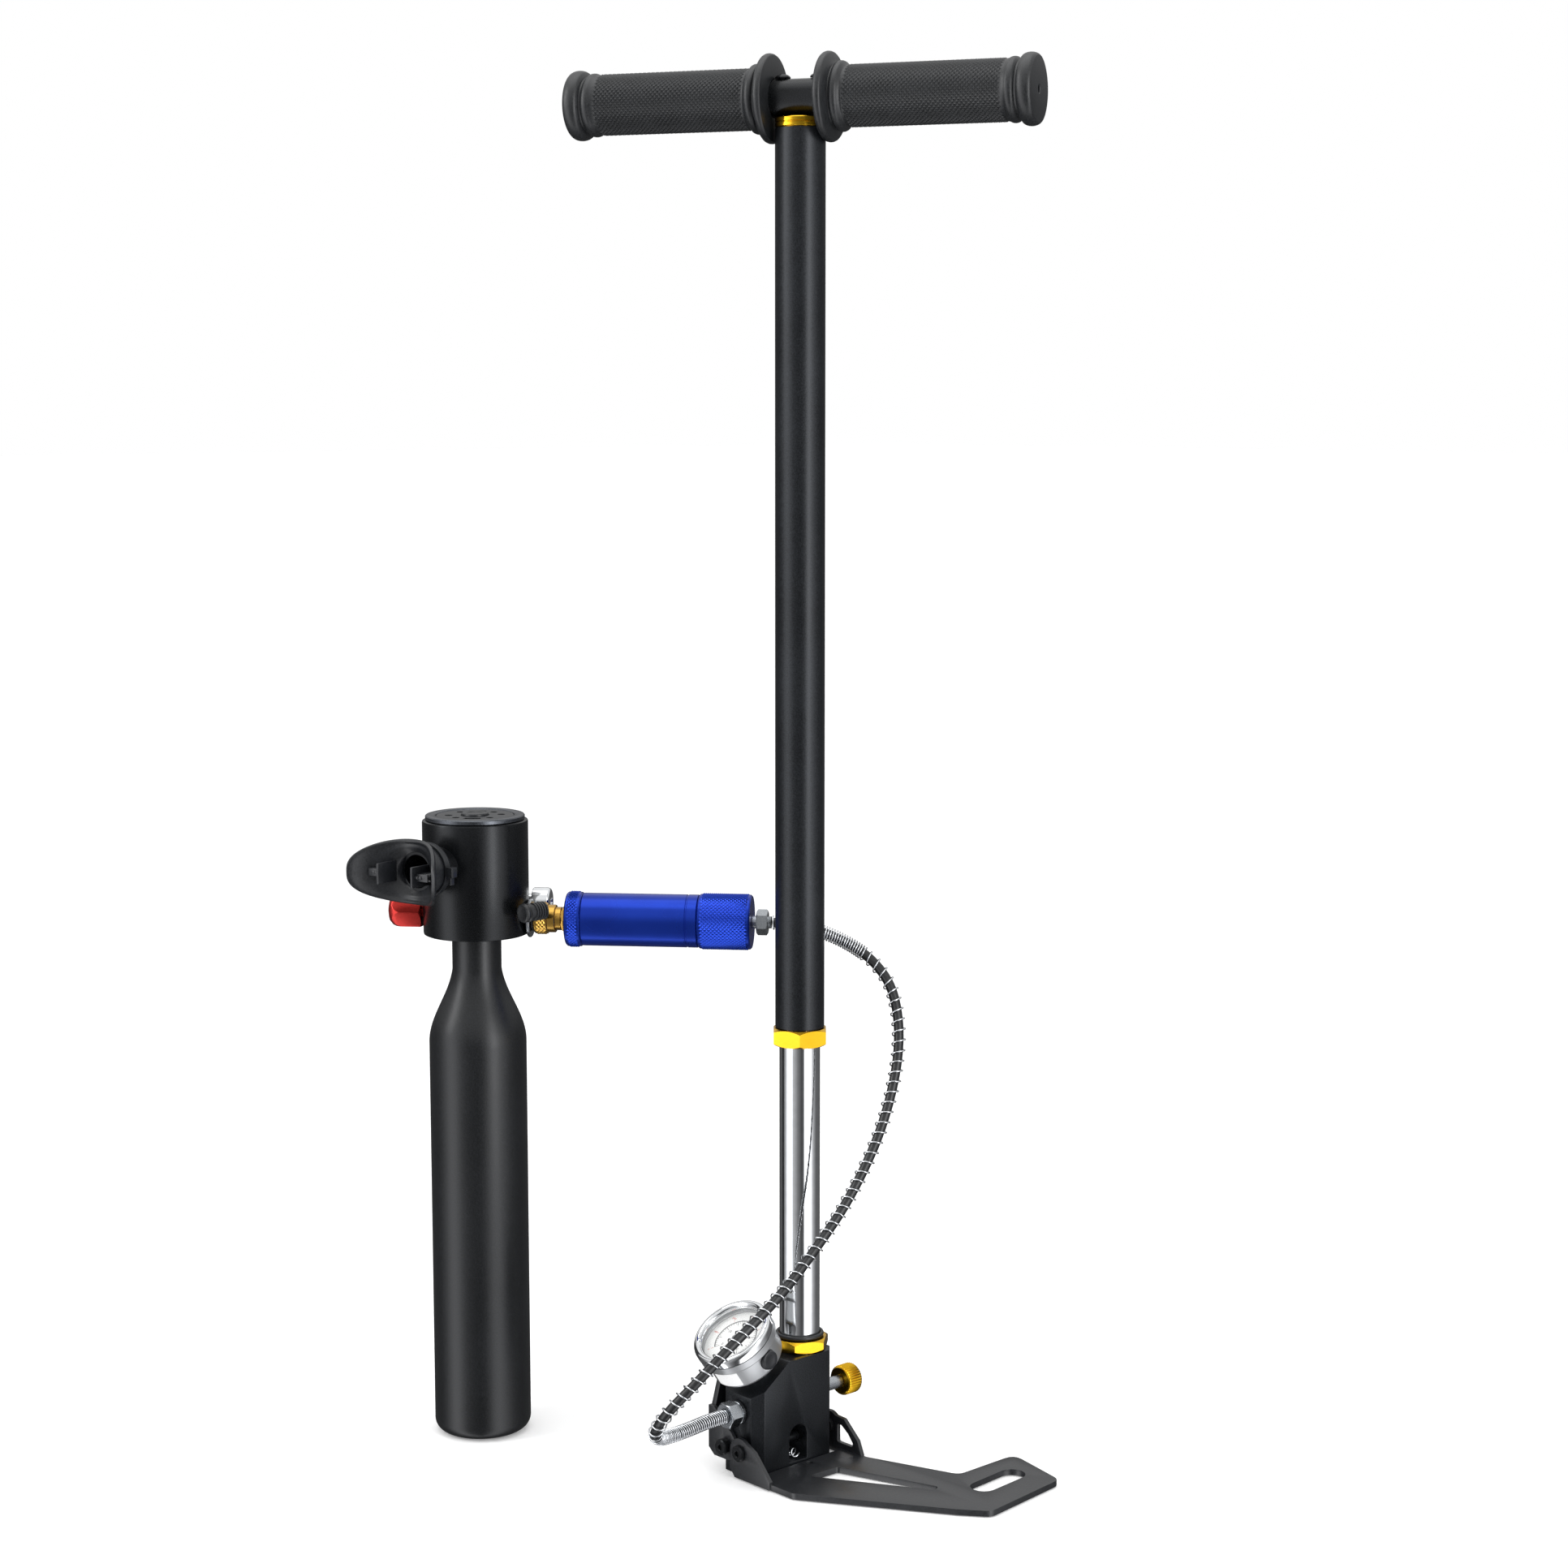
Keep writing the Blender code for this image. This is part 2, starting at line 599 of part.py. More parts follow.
def ear(name, outline, low, high, surface):
    """An ear pulled along Y. Its outline is (x, z), and the object's origin is on the hinge's axis."""
    shape = bmesh.new()
    corners = [shape.verts.new((x * MM, low * MM, z * MM)) for x, z in outline]
    face = shape.faces.new(corners)
    pulled = bmesh.ops.extrude_face_region(shape, geom=[face], use_keep_orig=True)
    moved = [thing for thing in pulled["geom"] if isinstance(thing, bmesh.types.BMVert)]
    bmesh.ops.translate(shape, verts=moved, vec=Y * (high - low) * MM)
    return placed(name, shape, surface)


def folded_plate(name, plan, ears, surface, pin):
    """A flat plate and its two bent-up ears, joined, with the pin's hole through both ears."""
    low, high = PLATE_BOTTOM - PIN_HEIGHT, PLATE_TOP - PIN_HEIGHT
    flat = extruded(name, plan, low, high, surface)
    for number, (outline, inner, outer) in enumerate(ears):
        piece = ear(f"{name}_ear_{number}", outline, min(inner, outer), max(inner, outer), surface)
        piece.parent = flat
        boolean(flat, piece, "UNION")
    drill(flat, name + "_pin_hole", PIN_RADIUS + GAP, -90.0, 60.0, along=Y, holder=flat)
    flat.location = pin * MM
    return flat


def make_front_pedal(surface):
    edge_x = BLOCK_HALF_X + 1.5 - PIN_PLACE
    outer_left, outer_right = PEDAL_EAR[0] - PEDAL_EAR_THICK, PEDAL_EAR[1] + PEDAL_EAR_THICK
    left, right = outer_left + PEDAL_EAR_THICK / 2, outer_right - PEDAL_EAR_THICK / 2
    corners = [
        (edge_x, left),
        (46.0, left),
        (130.0, -2.0),
        (146.0, 10.6),
        (139.0, 78.0),
        (92.0, 89.0),
        (91.7, 40.0),
        (32.0, right),
        (edge_x, right),
    ]
    plan = [corners[0], *rounded(corners, 7.0)[5:-5], corners[-1]]
    front_left = [26.3, (26.8, -11.5), (19.3, -3.5), (12.8, 3.5)]
    front_right = [28.9, (28.9, -13.0), (25.3, -4.5), (13.3, 6.5)]
    ears = [
        (ear_outline(front_left, 1), PEDAL_EAR[0], outer_left),
        (ear_outline(front_right, 1), PEDAL_EAR[1], outer_right),
    ]
    pedal = folded_plate("front_pedal", plan, ears, surface, FRONT_PIN)
    low, high = -PIN_HEIGHT - 5.0, 5.0 - PIN_HEIGHT + PLATE_TOP
    window = rounded([(31.5, -29.0), (32.5, -5.5), (97.0, 16.0), (100.0, 11.0)], 2.5)
    slot = arc((115.5, 36.0), 8.0, 180, 360, 8) + arc((113.5, 64.0), 8.0, 0, 180, 8)
    for name, outline in (("window_cut", window), ("pad_slot_cut", slot)):
        cutter = extruded(name, outline, low, high, surface)
        cutter.parent = pedal
        boolean(pedal, cutter, "DIFFERENCE")
    drill(pedal, "spring_hole", 2.2, low, high, (15.3, -13.0, 0), sides=12, holder=pedal)
    loop = rounded([(7.5, -9.5), (21.0, -9.5), (21.3, -7.0), (17.0, -2.0), (11.3, 2.0), (7.5, 2.5)], 1.5, 3)
    cutter = ear("ear_loop_cut", loop, PEDAL_EAR[1] - 5.0, outer_right + 5.0, surface)
    cutter.parent = pedal
    boolean(pedal, cutter, "DIFFERENCE")
    return pedal


def make_rear_foot(surface):
    edge_x = -(BLOCK_HALF_X + 1.5 - PIN_PLACE)
    outer_left, outer_right = FOOT_EAR[0] - FOOT_EAR_THICK, FOOT_EAR[1] + FOOT_EAR_THICK
    left, right = outer_left + FOOT_EAR_THICK / 2, outer_right - FOOT_EAR_THICK / 2
    taper = 9.0
    corners = [
        (edge_x, right),
        (-16.0, right),
        (-FOOT_REACH, right - taper),
        (-FOOT_REACH, left + taper),
        (-16.0, left),
        (edge_x, left),
    ]
    plan = [corners[0], *rounded(corners, 6.0)[5:-5], corners[-1]]
    front = [22.0, (22.0, -11.5), (15.0, -3.5), (9.5, 4.0)]
    ears = [
        (ear_outline(front, -1), FOOT_EAR[0], outer_left),
        (ear_outline(front, -1), FOOT_EAR[1], outer_right),
    ]
    foot = folded_plate("rear_foot", plan, ears, surface, REAR_PIN)
    low, high = -PIN_HEIGHT - 5.0, 5.0 - PIN_HEIGHT + PLATE_TOP
    drill(foot, "rear_spring_hole", 2.2, low, high, (-15.3, -13.0, 0), sides=12, holder=foot)
    foot.rotation_euler.y = math.radians(90)
    return foot


def make_fold_spring(surface):
    """The coil spring under the hinge pins, wound as one wire along X."""
    turns, coil_radius, wire, half = 8, 2.5, 0.55, 15.6
    line = bpy.data.curves.new("fold_spring", "CURVE")
    line.dimensions = "3D"
    line.bevel_depth = wire * MM
    line.bevel_resolution = 0
    line.use_fill_caps = True
    steps = turns * 8
    spline = line.splines.new("POLY")
    spline.points.add(steps)
    for number in range(steps + 1):
        angle = 2 * math.pi * turns * number / steps
        along = -half + 2 * half * number / steps
        spot = Vector((along, coil_radius * math.cos(angle), coil_radius * math.sin(angle)))
        spline.points[number].co = (*(spot * MM), 1.0)
    line.materials.append(surface)
    spring = bpy.data.objects.new("fold_spring", line)
    spring.location = Vector((0.0, SLOT_CENTRE, SLOT_FLOOR + 4.2)) * MM
    bpy.context.scene.collection.objects.link(spring)


def make_gauge(silver, chrome, white, black, glass, steel):
    at, way = GAUGE_FOOT, GAUGE_WAY
    floor = 11.0
    wall = 1.5
    profile = [(0.0, -7.7), (4.9, -7.7), (4.9, GAP), (7.2, GAP), (7.2, 8.0), (5.0, 8.6), (5.0, floor - GAP)]
    turned("gauge_stem", [*profile, (0.0, floor - GAP)], steel, at, way, SMALL_ROUND)
    rim = GAUGE_FRONT - 5.0
    profile = [
        (0.0, floor),
        (GAUGE_RADIUS - 1.0, floor),
        (GAUGE_RADIUS, floor + 1.0),
        (GAUGE_RADIUS, rim),
        (GAUGE_RADIUS - wall, rim),
        (GAUGE_RADIUS - wall, floor + wall),
        (0.0, floor + wall),
    ]
    case = turned("gauge_case", profile, silver, at, way)
    plug_centre = at + way * 19.3
    plug_low, plug_high = GAUGE_RADIUS - 3.2, GAUGE_RADIUS + 1.8
    drill(case, "plug_hole", 5.9 + GAP, GAUGE_RADIUS / 2, plug_high + 5.0, plug_centre, X)
    profile = [(0.0, plug_low), (5.9, plug_low), (5.9, plug_high - 0.8), (5.0, plug_high), (0.0, plug_high)]
    turned("gauge_plug", profile, black, plug_centre, X, SMALL_ROUND)
    dial_low = rim - 3.5
    turned("gauge_dial", rod(GAUGE_RADIUS - wall - GAP, dial_low, dial_low + 0.8), white, at, way)
    lens_low = rim + GAP
    turned("gauge_lens", rod(GAUGE_RADIUS, lens_low, lens_low + 2.0), glass, at, way)
    inner = GAUGE_RADIUS + 0.4
    lip = GAUGE_RADIUS - 2.6
    profile = [
        (inner, rim - 7.0),
        (BEZEL_RADIUS - 0.6, rim - 7.0),
        (BEZEL_RADIUS, rim - 6.4),
        (BEZEL_RADIUS, GAUGE_FRONT - 1.2),
        (BEZEL_RADIUS - 1.1, GAUGE_FRONT),
        (lip + 1.2, GAUGE_FRONT),
        (lip, GAUGE_FRONT - 1.0),
        (lip, lens_low + 2.0 + GAP),
        (inner, lens_low + 2.0 + GAP),
    ]
    turned("gauge_bezel", profile, chrome, at, way)
    tip = GAUGE_RADIUS - 7.5
    outline = [(0.9, -6.0), (0.6, 0.0), (0.25, tip), (-0.25, tip), (-0.6, 0.0), (-0.9, -6.0)]
    needle_low = dial_low + 1.4
    needle = extruded("gauge_needle", outline, needle_low, needle_low + 0.5, black, at, way)
    hub = turned("needle_hub", rod(2.2, needle_low - 0.2, needle_low + 0.9), black, at, way, 16)
    boolean(needle, hub, "UNION")
    hang(joint_empty("needle_turn", at, way), needle)


def make_bleed(gold, steel):
    start = 14.0
    screw = turned("bleed_screw", rod(4.0, -7.5, start - GAP), steel, BLEED_PLACE, Y, SMALL_ROUND)
    radius, end = BLEED_KNOB_RADIUS, start + BLEED_KNOB_LENGTH
    profile = rod(radius, start, end, 0.8)
    knob = turned("bleed_knob", profile, gold, BLEED_PLACE, Y)
    hang(joint_empty("bleed_turn", BLEED_PLACE, Y), screw, knob)


def make_base_fitting(steel):
    nut_start, nut_end = 3.6, 12.0
    profile = [
        (0.0, -7.5),
        (4.5, -7.5),
        (4.5, GAP),
        (7.2, GAP),
        (7.2, nut_start - GAP),
        (4.4, nut_start - GAP),
        (4.4, nut_end + 1.0),
        (0.0, nut_end + 1.0),
    ]
    turned("base_fitting", profile, steel, FITTING_PLACE, -Y, SMALL_ROUND)
    hex_piece("base_fitting_nut", 14.5, nut_start, nut_end, 4.4 + GAP, steel, FITTING_PLACE, -Y)


def smooth_line(route, between):
    """Points on a smooth curve through the route's points."""
    line = []
    spots = [Vector(spot) for spot in route]
    spots = [2 * spots[0] - spots[1], *spots, 2 * spots[-1] - spots[-2]]
    for before, start, end, after in zip(spots, spots[1:], spots[2:], spots[3:]):
        for number in range(between):
            part = number / between
            line.append(
                0.5
                * (
                    2 * start
                    + (end - before) * part
                    + (2 * before - 5 * start + 4 * end - after) * part**2
                    + (3 * start - before - 3 * end + after) * part**3
                )
            )
    line.append(spots[-2])
    return line


def make_hose(surface):
    line = bpy.data.curves.new("hose", "CURVE")
    line.dimensions = "3D"
    line.bevel_depth = HOSE_RADIUS * MM
    line.bevel_resolution = 2
    line.use_fill_caps = True
    points = smooth_line(HOSE_ROUTE, 2)
    spline = line.splines.new("POLY")
    spline.points.add(len(points) - 1)
    for point, spot in zip(spline.points, points):
        point.co = (*(spot * MM), 1.0)
    line.materials.append(surface)
    hose = bpy.data.objects.new("hose", line)
    bpy.context.scene.collection.objects.link(hose)


def make_filter_line(blue, brass, steel, white):
    at, way = FILL_START, FILL_WAY
    reach = HOUSING_RADIUS + 0.4
    flange = reach + 2.2
    profile = [
        (0.0, reach - 6.5),
        (6.0, reach - 6.5),
        (6.0, reach),
        (12.0, reach),
        (12.0, flange),
        (5.0, flange),
        (5.0, flange + 14.0),
        (0.0, flange + 14.0),
    ]
    turned("fill_adapter", profile, steel, at, way, SMALL_ROUND)
    shell, shoulder, neck = flange + 2.4, FILTER_START - 3.6, FILTER_START - GAP
    profile = [
        (5.3, shell),
        (7.3, shell),
        (7.3, shoulder),
        (8.0, shoulder),
        (8.0, neck),
        (0.0, neck),
        (0.0, flange + 14.5),
        (5.3, flange + 14.5),
    ]
    turned("coupler_body", profile, brass, at, way, SMALL_ROUND)
    profile = [
        (7.6, shell - 0.4),
        (9.2, shell - 0.4),
        (10.0, shell + 0.4),
        (10.0, shell + 7.4),
        (8.7, shell + 8.2),
        (8.7, shoulder - COUPLER_PULL - GAP),
        (7.6, shoulder - COUPLER_PULL - GAP),
    ]
    sleeve = turned("coupler_sleeve", profile, brass, at, way, SMALL_ROUND)
    hang(joint_empty("coupler_pull", at + way * shell, way), sleeve)
    profile = rod(FILTER_CAP_RADIUS, FILTER_START, FILTER_START + OUTLET_CAP_LENGTH, 1.0)
    turned("filter_outlet_cap", profile, blue, at, way)
    body_end = INLET_CAP_START - GAP
    turned("filter_body", tube(FILTER_RADIUS, FILTER_RADIUS - 4.0, FILTER_BODY_START, body_end), blue, at, way)
    profile = rod(FILTER_RADIUS - 5.0, FILTER_BODY_START + 1.5, body_end - 1.5)
    turned("filter_element", profile, white, at, way, SMALL_ROUND)
    turned("filter_inlet_cap", rod(FILTER_CAP_RADIUS, INLET_CAP_START, INLET_CAP_END, 1.0), blue, at, way)
    turned("filter_nipple", rod(3.9, INLET_CAP_END + GAP, INLET_CAP_END + 12.6), steel, at, way, SMALL_ROUND)
    hex_piece("hose_nut", 14.0, INLET_CAP_END + 3.0, INLET_CAP_END + 10.0, 3.9 + GAP, steel, at, way, 20.0)


def make_dust_cap(rubber):
    """A rubber cap on a strap that turns about the fill adapter. Its mouth faces along +Y."""
    side = FILL_WAY.cross(Z) * math.cos(DUST_CAP_LIFT) + Z * math.sin(DUST_CAP_LIFT)
    strap_place = HOUSING_RADIUS + 0.4 + 2.2 + GAP
    cap_place = FILL_START + FILL_WAY * (strap_place + 4.1) + side * DUST_CAP_REACH
    half, mouth = DUST_CAP_LENGTH / 2, DUST_CAP_RADIUS - 1.6
    profile = [
        (0.0, half - 3.0),
        (mouth, half - 3.0),
        (mouth, -half),
        (DUST_CAP_RADIUS, -half),
        (DUST_CAP_RADIUS, half - 1.0),
        (DUST_CAP_RADIUS - 1.0, half),
        (0.0, half),
    ]
    cap = turned("dust_cap", profile, rubber, cap_place, -Y, SMALL_ROUND)
    place = FILL_START + FILL_WAY * strap_place
    strap = turned("dust_cap_strap", tube(8.2, 5.0 + GAP, 0.0, 1.5), rubber, place, FILL_WAY, 16)
    tab_place = FILL_START + FILL_WAY * (strap_place + 0.75)
    tab_end = DUST_CAP_REACH - DUST_CAP_RADIUS - GAP
    tab = turned("strap_tab", rod(0.65, 6.5, tab_end), rubber, tab_place, side, 6)
    boolean(strap, tab, "UNION")
    hang(joint_empty("dust_cap_swing", FILL_START, FILL_WAY), cap, strap)


def make_cylinder(surface):
    corner, wall = 8.0, TANK_WALL
    profile = [(0.0, 1.5), (12.0, 1.2), (15.0, 0.0)]
    profile += arc((TANK_RADIUS - corner, corner), corner, -90, 0, 4)
    steps = 6
    for number in range(steps + 1):
        part = number / steps
        blend = (1 - math.cos(math.pi * part)) / 2
        lean = 0.72 * blend + 0.28 * part**1.5
        height = TANK_SHOULDER + (NECK_START - TANK_SHOULDER) * part
        profile.append((TANK_RADIUS + (NECK_RADIUS - TANK_RADIUS) * lean, height))
    profile.append((NECK_RADIUS, NECK_TOP))
    bore = 6.4
    profile.append((bore, NECK_TOP))
    profile.append((bore, NECK_START - wall))
    inside = TANK_RADIUS - wall
    middle = (TANK_SHOULDER + NECK_START) / 2 - wall
    profile += [((bore + inside) / 2, middle), (inside, TANK_SHOULDER - wall)]
    profile += [(inside, corner), (inside - corner / 2, wall + 1.5), (0.0, wall + 1.5)]
    turned("cylinder", profile, surface, TANK_PLACE)


def make_regulator(black, rubber, dark):
    foot, top = HOUSING_FOOT, HOUSING_TOP
    ledge = top - 3.0
    cavity = COVER_RADIUS - 1.7
    stem = 6.0
    profile = [
        (0.0, foot - 12.0),
        (stem, foot - 12.0),
        (stem, foot),
        (HOUSING_RADIUS - 1.5, foot),
        (HOUSING_RADIUS, foot + 1.5),
        (HOUSING_RADIUS, top - 1.5),
        (HOUSING_RADIUS - 1.5, top),
        (COVER_RADIUS + GAP, top),
        (COVER_RADIUS + GAP, ledge),
        (cavity, ledge),
        (cavity, foot + 30.0),
        (0.0, foot + 30.0),
    ]
    body = turned("regulator_body", profile, black, TANK_PLACE)
    mouth = TANK_PLACE + Z * (foot + MOUTH_HEIGHT)
    port = turned("mouth_port", rod(PORT_RADIUS, cavity + 3.0, HOUSING_RADIUS + 21.0), black, mouth, MOUTH_WAY)
    boolean(body, port, "UNION")
    drill(body, "mouth_bore", PORT_BORE, 10.0, 90.0, mouth, MOUTH_WAY)
    drill(body, "fill_bore", 6.0 + GAP, HOUSING_RADIUS - 7.0, HOUSING_RADIUS + 9.0, FILL_START, FILL_WAY)
    drill(body, "plug_bore", 5.0 + GAP, HOUSING_RADIUS - 11.5, HOUSING_RADIUS + 9.0, plug_foot(), FILL_WAY)
    knob_place = TANK_PLACE + Z * (foot + KNOB_HEIGHT)
    drill(body, "knob_bore", 5.0 + GAP, HOUSING_RADIUS - 7.5, HOUSING_RADIUS + 9.0, knob_place, -FILL_WAY)
    low = top + GAP
    profile = [
        (COVER_RADIUS + GAP, low),
        (RING_RADIUS, low),
        (RING_RADIUS, low + RING_HEIGHT - 1.0),
        (RING_RADIUS - 1.0, low + RING_HEIGHT),
        (COVER_RADIUS + 1.0, low + RING_HEIGHT),
        (COVER_RADIUS + GAP, low + RING_HEIGHT - 0.7),
    ]
    turned("regulator_ring", profile, black, TANK_PLACE)
    turned("diaphragm", rod(cavity - GAP, ledge - 9.0, ledge - 7.6), rubber, TANK_PLACE)
    make_purge_cover(dark, ledge, low)


def make_purge_cover(surface, ledge, low):
    """The vented disc over the diaphragm, and the button in its middle."""
    profile = tube(COVER_RADIUS, BUTTON_RADIUS + 0.4, ledge + GAP, low + RING_HEIGHT - 0.6)
    cover = turned("purge_cover", profile, surface, TANK_PLACE)
    circle = (BUTTON_RADIUS + COVER_RADIUS) / 2
    for angle, radius in VENTS:
        turn = math.radians(angle)
        at = TANK_PLACE + circle * Vector((math.cos(turn), math.sin(turn), 0.0))
        drill(cover, f"vent_{angle}", radius, ledge - 5.0, low + 10.0, at, sides=12)
    for angle in KIDNEYS:
        outline = arc((0, 0), circle + 2.5, angle - 18, angle + 18, 6)
        outline += arc((0, 0), circle - 2.5, angle + 18, angle - 18, 6)
        kidney = extruded(f"kidney_{angle}", outline, ledge - 5.0, low + 10.0, surface, TANK_PLACE)
        boolean(cover, kidney, "DIFFERENCE")
    crown = low + RING_HEIGHT + 1.0
    flange_top = ledge - 1.2
    profile = [
        (0.0, flange_top - 2.0),
        (BUTTON_RADIUS + 2.5, flange_top - 2.0),
        (BUTTON_RADIUS + 2.5, flange_top),
        (BUTTON_RADIUS, flange_top),
        (BUTTON_RADIUS, crown - 1.0),
        (BUTTON_RADIUS - 1.0, crown),
        (0.0, crown),
    ]
    button = turned("purge_button", profile, surface, TANK_PLACE, sides=SMALL_ROUND)
    hang(joint_empty("purge_press", TANK_PLACE + Z * crown), button)


def wing_bend(across):
    """How far the lip flange has bent forward at a distance to the side of its middle."""
    return WING_BEND * (across / WING_HALF) ** 2


def wing(name, surface, at, way):
    """The mouthpiece's lip flange: a tall oval sheet bent forward at both ends."""
    half, height, thick = WING_HALF, 18.0, WING_THICK
    columns = 16
    shape = bmesh.new()
    rows = []
    for number in range(columns + 1):
        across = -half + 2 * half * number / columns
        share = across / half
        tall = height * max(1 - share**4, 0.0) ** 0.5 + 1.2
        ahead = wing_bend(across)
        spots = ((-tall, ahead), (-tall, ahead + thick), (tall, ahead + thick), (tall, ahead))
        rows.append([shape.verts.new((across * MM, up * MM, out * MM)) for up, out in spots])
    for first, second in zip(rows, rows[1:]):
        for number in range(4):
            other = (number + 1) % 4
            shape.faces.new((first[number], first[other], second[other], second[number]))
    shape.faces.new(rows[0])
    shape.faces.new(rows[-1])
    return placed(name, shape, surface, at, way)


def make_mouthpiece(rubber, black):
    mouth = TANK_PLACE + Z * (HOUSING_FOOT + MOUTH_HEIGHT)
    start, face = HOUSING_RADIUS + 5.0, HOUSING_RADIUS + 22.0
    inner, outer = PORT_RADIUS + GAP, PORT_RADIUS + 3.0
    piece = turned("mouthpiece", tube(outer, inner, start, face + 1.5), rubber, mouth, MOUTH_WAY)
    lip = wing("lip_flange", rubber, mouth + MOUTH_WAY * face, MOUTH_WAY)
    boolean(piece, lip, "UNION")
    side = MOUTH_WAY.cross(Z)
    for name, way in (("left", -1), ("right", 1)):
        near, far = inner + 0.5, inner + 9.5
        root = face + WING_THICK / 2
        corners = [(near, root + wing_bend(near)), (near, face + 19.0)]
        corners += [(far, face + 17.0), (far, root + wing_bend(far))]
        outline = [(side * (across * way) + MOUTH_WAY * ahead).xy for across, ahead in corners]
        tab = extruded("bite_tab_" + name, outline, -9.0, 9.0, rubber, mouth)
        boolean(piece, tab, "UNION")
    drill(piece, "air_way", inner, start - 5.0, face + 40.0, mouth, MOUTH_WAY)
    low = start + 4.5
    tie = turned("mouthpiece_tie", tube(outer + 1.4, outer + GAP, low, low + 4.0), black, mouth, MOUTH_WAY)
    block = rounded([(outer + 0.6, -3.2), (outer + 6.0, -3.2), (outer + 6.0, 3.2), (outer + 0.6, 3.2)], 0.8, 2)
    head = extruded("tie_head", block, low - 0.6, low + 4.6, black, mouth, MOUTH_WAY)
    boolean(tie, head, "UNION")


def plug_foot():
    return FILL_START - FILL_WAY.cross(Z) * PLUG_ASIDE + Z * PLUG_LIFT


def make_safety_plug(chrome):
    """A round plug beside the fill adapter, which lets the gas out if the cylinder is overfilled."""
    reach = HOUSING_RADIUS - 0.5
    profile = [
        (0.0, reach - 10.5),
        (5.0, reach - 10.5),
        (5.0, reach),
        (9.0, reach),
        (9.0, reach + 10.5),
        (8.0, reach + 11.5),
        (0.0, reach + 11.5),
    ]
    turned("safety_plug", profile, chrome, plug_foot(), FILL_WAY, SMALL_ROUND)


def make_valve_knob(red):
    place = TANK_PLACE + Z * (HOUSING_FOOT + KNOB_HEIGHT)
    way = -FILL_WAY
    reach = HOUSING_RADIUS + 0.6
    knob = hex_piece("valve_knob", 20.0, reach, reach + 16.0, 0.0, red, place, way)
    profile = [
        (0.0, reach - 7.0),
        (5.0, reach - 7.0),
        (5.0, reach + 2.0),
        (10.4, reach + 2.0),
        (10.4, reach + 17.0),
        (9.4, reach + 19.5),
        (6.0, reach + 21.2),
        (0.0, reach + 21.8),
    ]
    boolean(knob, turned("knob_dome", profile, red, place, way, SMALL_ROUND), "UNION")
    hang(joint_empty("valve_turn", place, way), knob)


def build():
    clear_scene()
    black = finish("black_anodised_aluminium", (0.035, 0.038, 0.042), 0.42, 0.6)
    coated = finish("black_coated_steel", (0.04, 0.042, 0.046), 0.5)
    painted = finish("matte_black_paint", (0.028, 0.03, 0.033), 0.5)
    chrome = finish("chrome", (0.75, 0.76, 0.78), 0.12, 1.0)
    gold = finish("gold_anodised_aluminium", (0.75, 0.48, 0.06), 0.3, 1.0)
    brass = finish("brass", (0.62, 0.42, 0.14), 0.35, 1.0)
    steel = finish("zinc_plated_steel", (0.55, 0.57, 0.6), 0.3, 1.0)
    silver = finish("silver_case", (0.6, 0.61, 0.63), 0.35, 1.0)
    blue = finish("blue_anodised_aluminium", (0.01, 0.04, 0.35), 0.35, 0.8)
    red = finish("red_anodised_aluminium", (0.55, 0.05, 0.04), 0.35, 0.8)
    rubber = finish("black_rubber", (0.035, 0.036, 0.04), 0.7)
    plastic = finish("black_plastic", (0.03, 0.032, 0.035), 0.45)
    white = finish("white_enamel", (0.8, 0.8, 0.78), 0.5)
    glass = finish("clear_glass", (0.9, 0.92, 0.93), 0.05, alpha=0.3)

    make_block(black)
    make_fixed_tubes(chrome, gold, rubber, steel)
    make_piston_head(brass, rubber)
    make_rod(steel, brass)
    sleeve = make_sleeve(black, gold, brass)
    handle = make_handle(black, steel)
    grips = make_grips(rubber)
    hang(joint_empty("handle_swivel", (0, 0, OUTER_TUBE_TOP)), *sleeve, *handle, *grips)
    make_pins(steel)
    make_front_pedal(coated)
    make_rear_foot(coated)
    make_fold_spring(steel)
    make_gauge(silver, chrome, white, plastic, glass, steel)
    make_bleed(gold, steel)
    make_base_fitting(steel)
    make_hose(steel)
    make_filter_line(blue, brass, steel, white)
    make_dust_cap(rubber)
    make_cylinder(painted)
    make_regulator(black, rubber, plastic)
    make_mouthpiece(rubber, plastic)
    make_valve_knob(red)
    make_safety_plug(chrome)


build()
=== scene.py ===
# %% [markdown]
# # A hand pump that fills a small breathing cylinder
#
# The real object is a stand-up pump of about 85 cm. A black tube with a T handle slides over a chrome
# tube, and the block at the foot has a pedal to stand on. A hose in a wire guard takes the air through a
# blue filter into a black cylinder, and a mouthpiece on the cylinder's head gives it back to a diver.
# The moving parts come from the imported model, and this script only adds what the eye sees.

import json
import math

import bmesh
import bpy
from mathutils import Matrix, Vector

